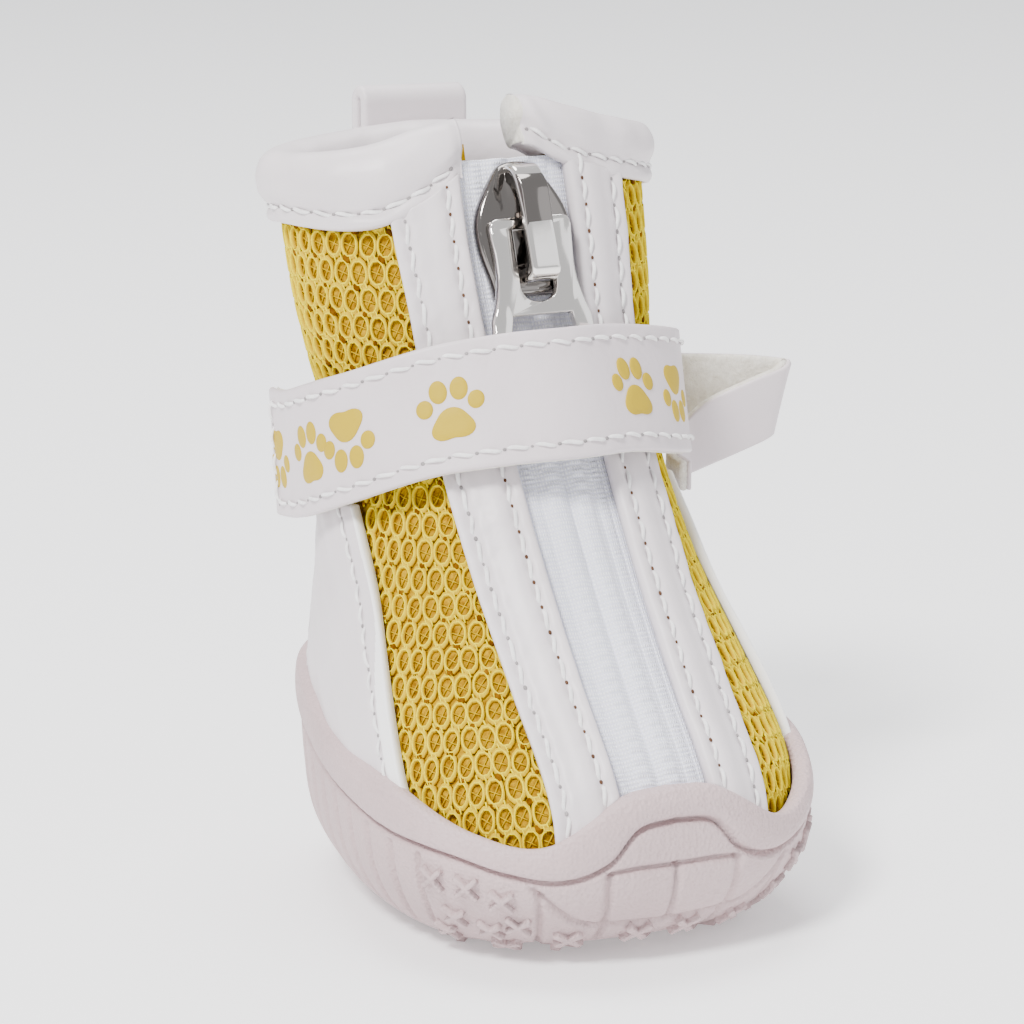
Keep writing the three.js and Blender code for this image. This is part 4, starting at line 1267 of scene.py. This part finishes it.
def paw_print(name, along, across, turn, size):
    pieces = []
    c, s = math.cos(math.radians(turn)), math.sin(math.radians(turn))
    for k, (kind, x, y, wide, high, lean) in enumerate(PAW):
        spin = math.radians(lean)
        base = pad_outline(kind) * (wide, high)
        base = np.stack([base[:, 0] * math.cos(spin) - base[:, 1] * math.sin(spin),
                         base[:, 0] * math.sin(spin) + base[:, 1] * math.cos(spin)], -1)
        rings = [(0.02, 0.07), (0.5, 0.07), (0.96, 0.07), (1.0, 0.03), (1.0, -0.1), (0.02, -0.1)]
        rows = []
        for grow, lift in rings:
            flat = (base * grow + (x, y)) * size
            a = along + flat[:, 0] * c - flat[:, 1] * s
            b = across + flat[:, 0] * s + flat[:, 1] * c
            rows.append(strap_spot(a, b, np.full(a.shape, lift)))
        pieces.append(tube(f"{name}_{k}", np.array(rows)))
    return pieces


def joined(name, pieces):
    """Several meshes as one piece."""
    made = bmesh.new()
    for piece in pieces:
        made.from_mesh(piece.data)
    for piece in pieces:
        bpy.data.objects.remove(piece)
    mesh = bpy.data.meshes.new(name)
    made.to_mesh(mesh)
    made.free()
    whole = bpy.data.objects.new(name, mesh)
    bpy.context.scene.collection.objects.link(whole)
    return whole


def strap_along(angle):
    return float(np.interp(angle, strap_angle, strap_v[:, 20]))


PRINTS = [(-111, 6.1, 182, 0.98), (-86, 5.7, 2, 0.98), (-68, 6.2, 178, 0.98),
          (-35, 5.9, 3, 1.0), (25, 6.2, 2, 0.98), (50, 6.2, 180, 0.98)]
spots = []
for k, (angle, across, turn, size) in enumerate(PRINTS):
    spots += paw_print(f"paw_{k}", strap_along(angle), across, turn, size)
PAWS = joined("strap_paw_prints", spots)
dressed(PAWS, PRINT)
print("paw prints:", len(PRINTS))

# %% [markdown]
# The strap's other end comes round from the heel, stands off the left side in a slack fold, and tucks
# under the strap. Its inside is thick fleece, which shows along the top of the fold.
# %% Side loop
SIDE_LOOP = [  # x, y, low, high, flare of the top edge
    (16.2, 24.6, 38.6, 49.4, 0), (20.4, 21, 38.8, 49.6, 0.3), (24.6, 17.4, 39.6, 49.8, 0.8),
    (29.6, 15, 40.6, 49.6, 1.4), (32.4, 13.8, 41.4, 49.2, 1.9), (33.2, 12.4, 41.4, 49, 2.1),
    (32.2, 11.1, 41.2, 48.6, 1.8), (28.6, 10.7, 40.2, 47.6, 1.2), (24.2, 11, 38.8, 45.8, 0.6),
    (21.8, 11.1, 38, 43.6, 0.2), (20.6, 9.6, 37.8, 41.4, 0), (20.4, 6.6, 37.8, 40.8, 0),
]


def smooth_line(points, count):
    """A smooth open line through points, evenly stepped by chord length."""
    points = np.asarray(points, float)
    knots = np.concatenate([[0], np.cumsum(np.linalg.norm(np.diff(points, axis=0), axis=1) ** 0.5)])
    rows = np.concatenate([knots[:, None], points], 1)
    return read(rows, np.linspace(0, knots[-1], count))


loop_low = smooth_line([(x, y, low) for x, y, low, high, flare in SIDE_LOOP], 220)
loop_high = smooth_line([(x + flare, y, high) for x, y, low, high, flare in SIDE_LOOP], 220)
loop_out = lines_out(loop_low, loop_high)
LOOP_SKIN, _, _, loop_v = ribbon(
    "side_loop_pu", loop_low, loop_high, -loop_out, -0.55, 0.0, PU_STRAP, 28, ends=0.2)
LOOP_BACK, *_ = ribbon(
    "side_loop_fleece", loop_low, loop_high, loop_out, 0.5, FLEECED, FLEECE, 28, fuzz=0.1)
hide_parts("side_loop")
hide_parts("side_loop")
print("side loop length:", round(float(loop_v[:, 14][-1]), 1), "mm")

# %% [markdown]
# The pull loop is a short PU tape folded over at the back of the collar, to pull the boot on by.
# %% Pull loop
def pull_loop():
    x, half, foot, top = 1.6, 5.9, 67, 77.4
    radius = 0.5 + STRIP
    standing = float(level(LAST, 180, foot, 2.2)[1])
    bend = np.linspace(0, np.pi, 22)
    path = [(standing, foot + t * (top - radius - foot)) for t in np.linspace(0, 1, 14)[:-1]]
    path += [(standing + radius * (1 - math.cos(a)), top - radius + radius * math.sin(a)) for a in bend]
    path += [(standing + 2 * radius, z) for z in np.linspace(path[-1][1], foot + 1.5, 13)[1:]]
    path = np.array(path)
    slack = 0.35 * np.sin(np.linspace(0, np.pi, len(path)))
    low = np.stack([np.full(len(path), x - half), path[:, 0], path[:, 1] + slack * 0.4], -1)
    high = np.stack([np.full(len(path), x + half), path[:, 0], path[:, 1] - slack * 0.4], -1)
    out = lines_out(low, high)
    piece, _, _, v = ribbon("pull_loop_pu", low, high, out, 0.0, STRIP, PU, 30, ends=0.3)
    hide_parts("pull_loop")
    return float(v[:, 15][-1])


loop_length = pull_loop()
print("pull loop tape:", round(loop_length, 1), "mm")

# %% [markdown]
# ## Slider and pull tab
# Both are zinc castings. Their CAD shapes are right, but a casting has no sharp edges, so a welded copy of
# each gets a small bevel. The slider's crown is domed, so one more shell is laid over its top plate.
# %% Rounded copies of the castings
def casting(node, name, radius, finish, body):
    made = bmesh.new()
    made.from_mesh(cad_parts[node].data)
    bmesh.ops.remove_doubles(made, verts=made.verts, dist=2e-6)
    bmesh.ops.dissolve_limit(made, angle_limit=math.radians(2), verts=made.verts, edges=made.edges)
    mesh = bpy.data.meshes.new(name)
    made.to_mesh(mesh)
    made.free()
    piece = bpy.data.objects.new(name, mesh)
    bpy.context.scene.collection.objects.link(piece)
    bevel = piece.modifiers.new("Rounded edge", "BEVEL")
    bevel.width, bevel.segments, bevel.limit_method = radius * MM, 3, "ANGLE"
    bevel.angle_limit = math.radians(35)
    bevel.harden_normals = True
    ready = piece.evaluated_get(bpy.context.evaluated_depsgraph_get())
    baked = bpy.data.meshes.new_from_object(ready)
    piece.modifiers.clear()
    piece.data = baked
    baked.polygons.foreach_set("use_smooth", [True] * len(baked.polygons))
    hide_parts(node)
    return dressed(piece, finish, body)


# The slider body wears the darker nickel, painted shade for its dark reflections.
SLIDER = casting("zip_slider", "slider_casting", 0.16, NICKEL_SHADED, "boot")
TAB = casting("zip_pull", "pull_tab_casting", 0.17, NICKEL, "pull")
print("slider faces:", len(SLIDER.data.polygons), "tab faces:", len(TAB.data.polygons))

# %% The slider's crown
SLIDER_AT = 66.2
shaft_front = read(LAST, np.array([60.0, 72.0, SLIDER_AT]))[:, 0]
SHAFT_TURN = math.pi / 2 - math.atan2(shaft_front[1] - shaft_front[0], 12)
to_shaft = np.array(Matrix.Rotation(SHAFT_TURN, 3, "X"))


def on_shaft(points):
    """From the slider's own frame, x across, y up the zip and z out, to the boot's."""
    return np.asarray(points, float) @ to_shaft.T + (0, shaft_front[2], SLIDER_AT)


def bezier(points, count):
    t = np.linspace(0, 1, count, endpoint=False)[:, None]
    p = np.array(points, float)
    if len(p) == 3:
        return (1 - t) ** 2 * p[0] + 2 * t * (1 - t) * p[1] + t**2 * p[2]
    return (1 - t) ** 3 * p[0] + 3 * t * (1 - t) ** 2 * p[1] + 3 * t**2 * (1 - t) * p[2] + t**3 * p[3]


def crown():
    w, nose, tail = 4.95, 6.6, 6.4
    half = np.concatenate([
        bezier([(0, nose), (w * 0.3, nose), (w * 0.42, nose - 0.6)], 8),
        bezier([(w * 0.42, nose - 0.6), (w * 0.8, 3.6), (w, 2), (w, 0)], 22),
        bezier([(w, 0), (w, -3), (w * 0.82, -4), (w * 0.8, -tail)], 18),
        [(w * 0.8, -tail), (w * 0.4, -tail)],
    ])
    ring = np.concatenate([half, [(0, -tail)], (half * (-1, 1))[::-1][:-1]])
    centre = np.array([0, 0.5])
    rows = []
    for k, z in ((0.03, 2.42), (0.25, 2.4), (0.42, 2.28), (0.6, 2.05), (0.78, 1.78), (0.9, 1.62),
                 (0.96, 1.55), (1.0, 1.42), (1.03, 1.1), (1.03, 0.5), (1.0, 0.0), (0.97, -0.4),
                 (0.9, -0.45), (0.88, 0.2), (0.7, 0.3), (0.03, 0.3)):
        flat = centre + (ring - centre) * k
        dip = 0.35 * np.exp(-(((np.abs(flat[:, 0]) - 2.0) / 0.7) ** 2)) * (k < 0.95) * (z > 1)
        rows.append(np.concatenate([flat, np.full((len(flat), 1), z) - dip[:, None]], 1))
    piece = tube("slider_crown", on_shaft(np.array(rows)))
    # The crown wears the darker nickel too, painted shade for its dark reflections.
    return dressed(piece, NICKEL_SHADED)


CROWN = crown()
print("crown faces:", len(CROWN.data.polygons))

# %% The slider's bridge
def bridge():
    path = np.concatenate([
        bezier([(6.1, 1.0), (6.4, 2.8), (5.8, 3.6), (4.4, 4.0)], 14),
        bezier([(4.4, 4.0), (1.4, 4.7), (-1.6, 5.1), (-4.3, 5.1)], 16),
        bezier([(-4.3, 5.1), (-5.6, 5.0), (-5.5, 2.8), (-5.2, 1.0)], 14), [(-5.2, 0.8)],
    ])
    low = on_shaft(np.stack([np.full(len(path), -1.5), path[:, 0], path[:, 1]], -1))
    high = on_shaft(np.stack([np.full(len(path), 1.5), path[:, 0], path[:, 1]], -1))
    out = lines_out(low, high)
    if out[20] @ (to_shaft @ np.array([0, 0, 1.0])) < 0:
        out = -out
    piece, *_ = ribbon("slider_bridge", low, high, out, -0.75, 0.2, NICKEL, 18, ends=0.3)
    return piece


BRIDGE = bridge()
drop(STITCH, PIT)
print("bridge faces:", len(BRIDGE.data.polygons))

# %% [markdown]
# ## Insole
# Inside, a thin board with a brushed lining closes the foot. It is only seen through the collar, so a
# domed board with a rolled edge and the lining's finish is enough.
# %% Insole
def insole():
    angle = np.linspace(0, 360, 160, endpoint=False)[None]
    z = FLOOR + GAP + rise(level(LAST, angle, FLOOR)[..., 1])
    rows = []
    edge = skin(angle, z, -WALL - 1.2)
    for k, up in ((0.02, 2.0), (0.3, 1.98), (0.6, 1.93), (0.85, 1.86), (0.95, 1.78), (0.99, 1.55), (1, 1.0),
                  (0.99, 0.3), (0.96, 0.02), (0.5, 0.0), (0.02, 0.0)):
        ring = (0, 2, 0) + (edge[0] - (0, 2, 0)) * k
        ring[:, 2] = FLOOR + GAP + rise(ring[:, 1]) + up * 0.9
        rows.append(ring)
    piece = tube("insole_board", np.array(rows))
    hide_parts("insole")
    return dressed(piece, INSIDE)


INSOLE = insole()
print("insole faces:", len(INSOLE.data.polygons))

# %% [markdown]
# ## Studio
# A pale sweep of floor, one large soft key from the upper left, a fill and a rim, and a long lens at the
# height of a low table. The camera stands off about 42 cm, so the boot keeps its slight perspective.
# %% Floor, lights and camera
def floor_sweep():
    bpy.ops.mesh.primitive_plane_add(size=6)
    plane = bpy.context.object
    plane.name = "floor"
    made = Finish("floor_white", roughness=0.6, specular_ior_level=0.2, base_color=(0.92, 0.92, 0.93, 1),
                  emission_color=(1, 1, 1, 1), emission_strength=0.35)
    plane.data.materials.append(made.material)
    return plane


def lamp(name, at, aim, size, watts, colour):
    light = bpy.data.lights.new(name, "AREA")
    light.shape, light.size, light.energy, light.color = "DISK", size, watts, colour
    thing = bpy.data.objects.new(name, light)
    bpy.context.scene.collection.objects.link(thing)
    thing.location = at
    thing.rotation_euler = (Vector(aim) - Vector(at)).to_track_quat("-Z", "Y").to_euler()
    return thing


floor_sweep()
lamp("key", (-0.55, -0.35, 0.75), (0, 0, 0.03), 0.25, 15.0, (1.0, 0.985, 0.97))
lamp("fill", (0.6, -0.6, 0.35), (0, 0, 0.04), 0.6, 1.0, (0.96, 0.97, 1.0))
lamp("top", (0.05, 0.25, 0.8), (0, 0, 0.03), 0.5, 6.5, (1.0, 1.0, 1.0))
world = bpy.data.worlds.new("studio")
world.use_nodes = True
world.node_tree.nodes["Background"].inputs["Color"].default_value = (0.93, 0.94, 0.96, 1)
world.node_tree.nodes["Background"].inputs["Strength"].default_value = 0.95
bpy.context.scene.world = world
CAMERA_AT, CAMERA_AIM = Vector((-0.18654, -0.3661, 0.13387)), Vector((-0.0035, 0.0, 0.0393))
lens = bpy.data.cameras.new("camera")
lens.sensor_width, lens.lens, lens.clip_start = 36, 150, 0.01
camera = bpy.data.objects.new("camera", lens)
bpy.context.scene.collection.objects.link(camera)
camera.location = CAMERA_AT
camera.rotation_euler = (CAMERA_AIM - CAMERA_AT).to_track_quat("-Z", "Y").to_euler()
bpy.context.scene.camera = camera
print("camera distance:", round((CAMERA_AIM - CAMERA_AT).length, 3), "m, lens:", lens.lens)

# %% [markdown]
# ## Last step
# The view layer is brought up to date.
# %% Update the view layer
bpy.context.view_layer.update()
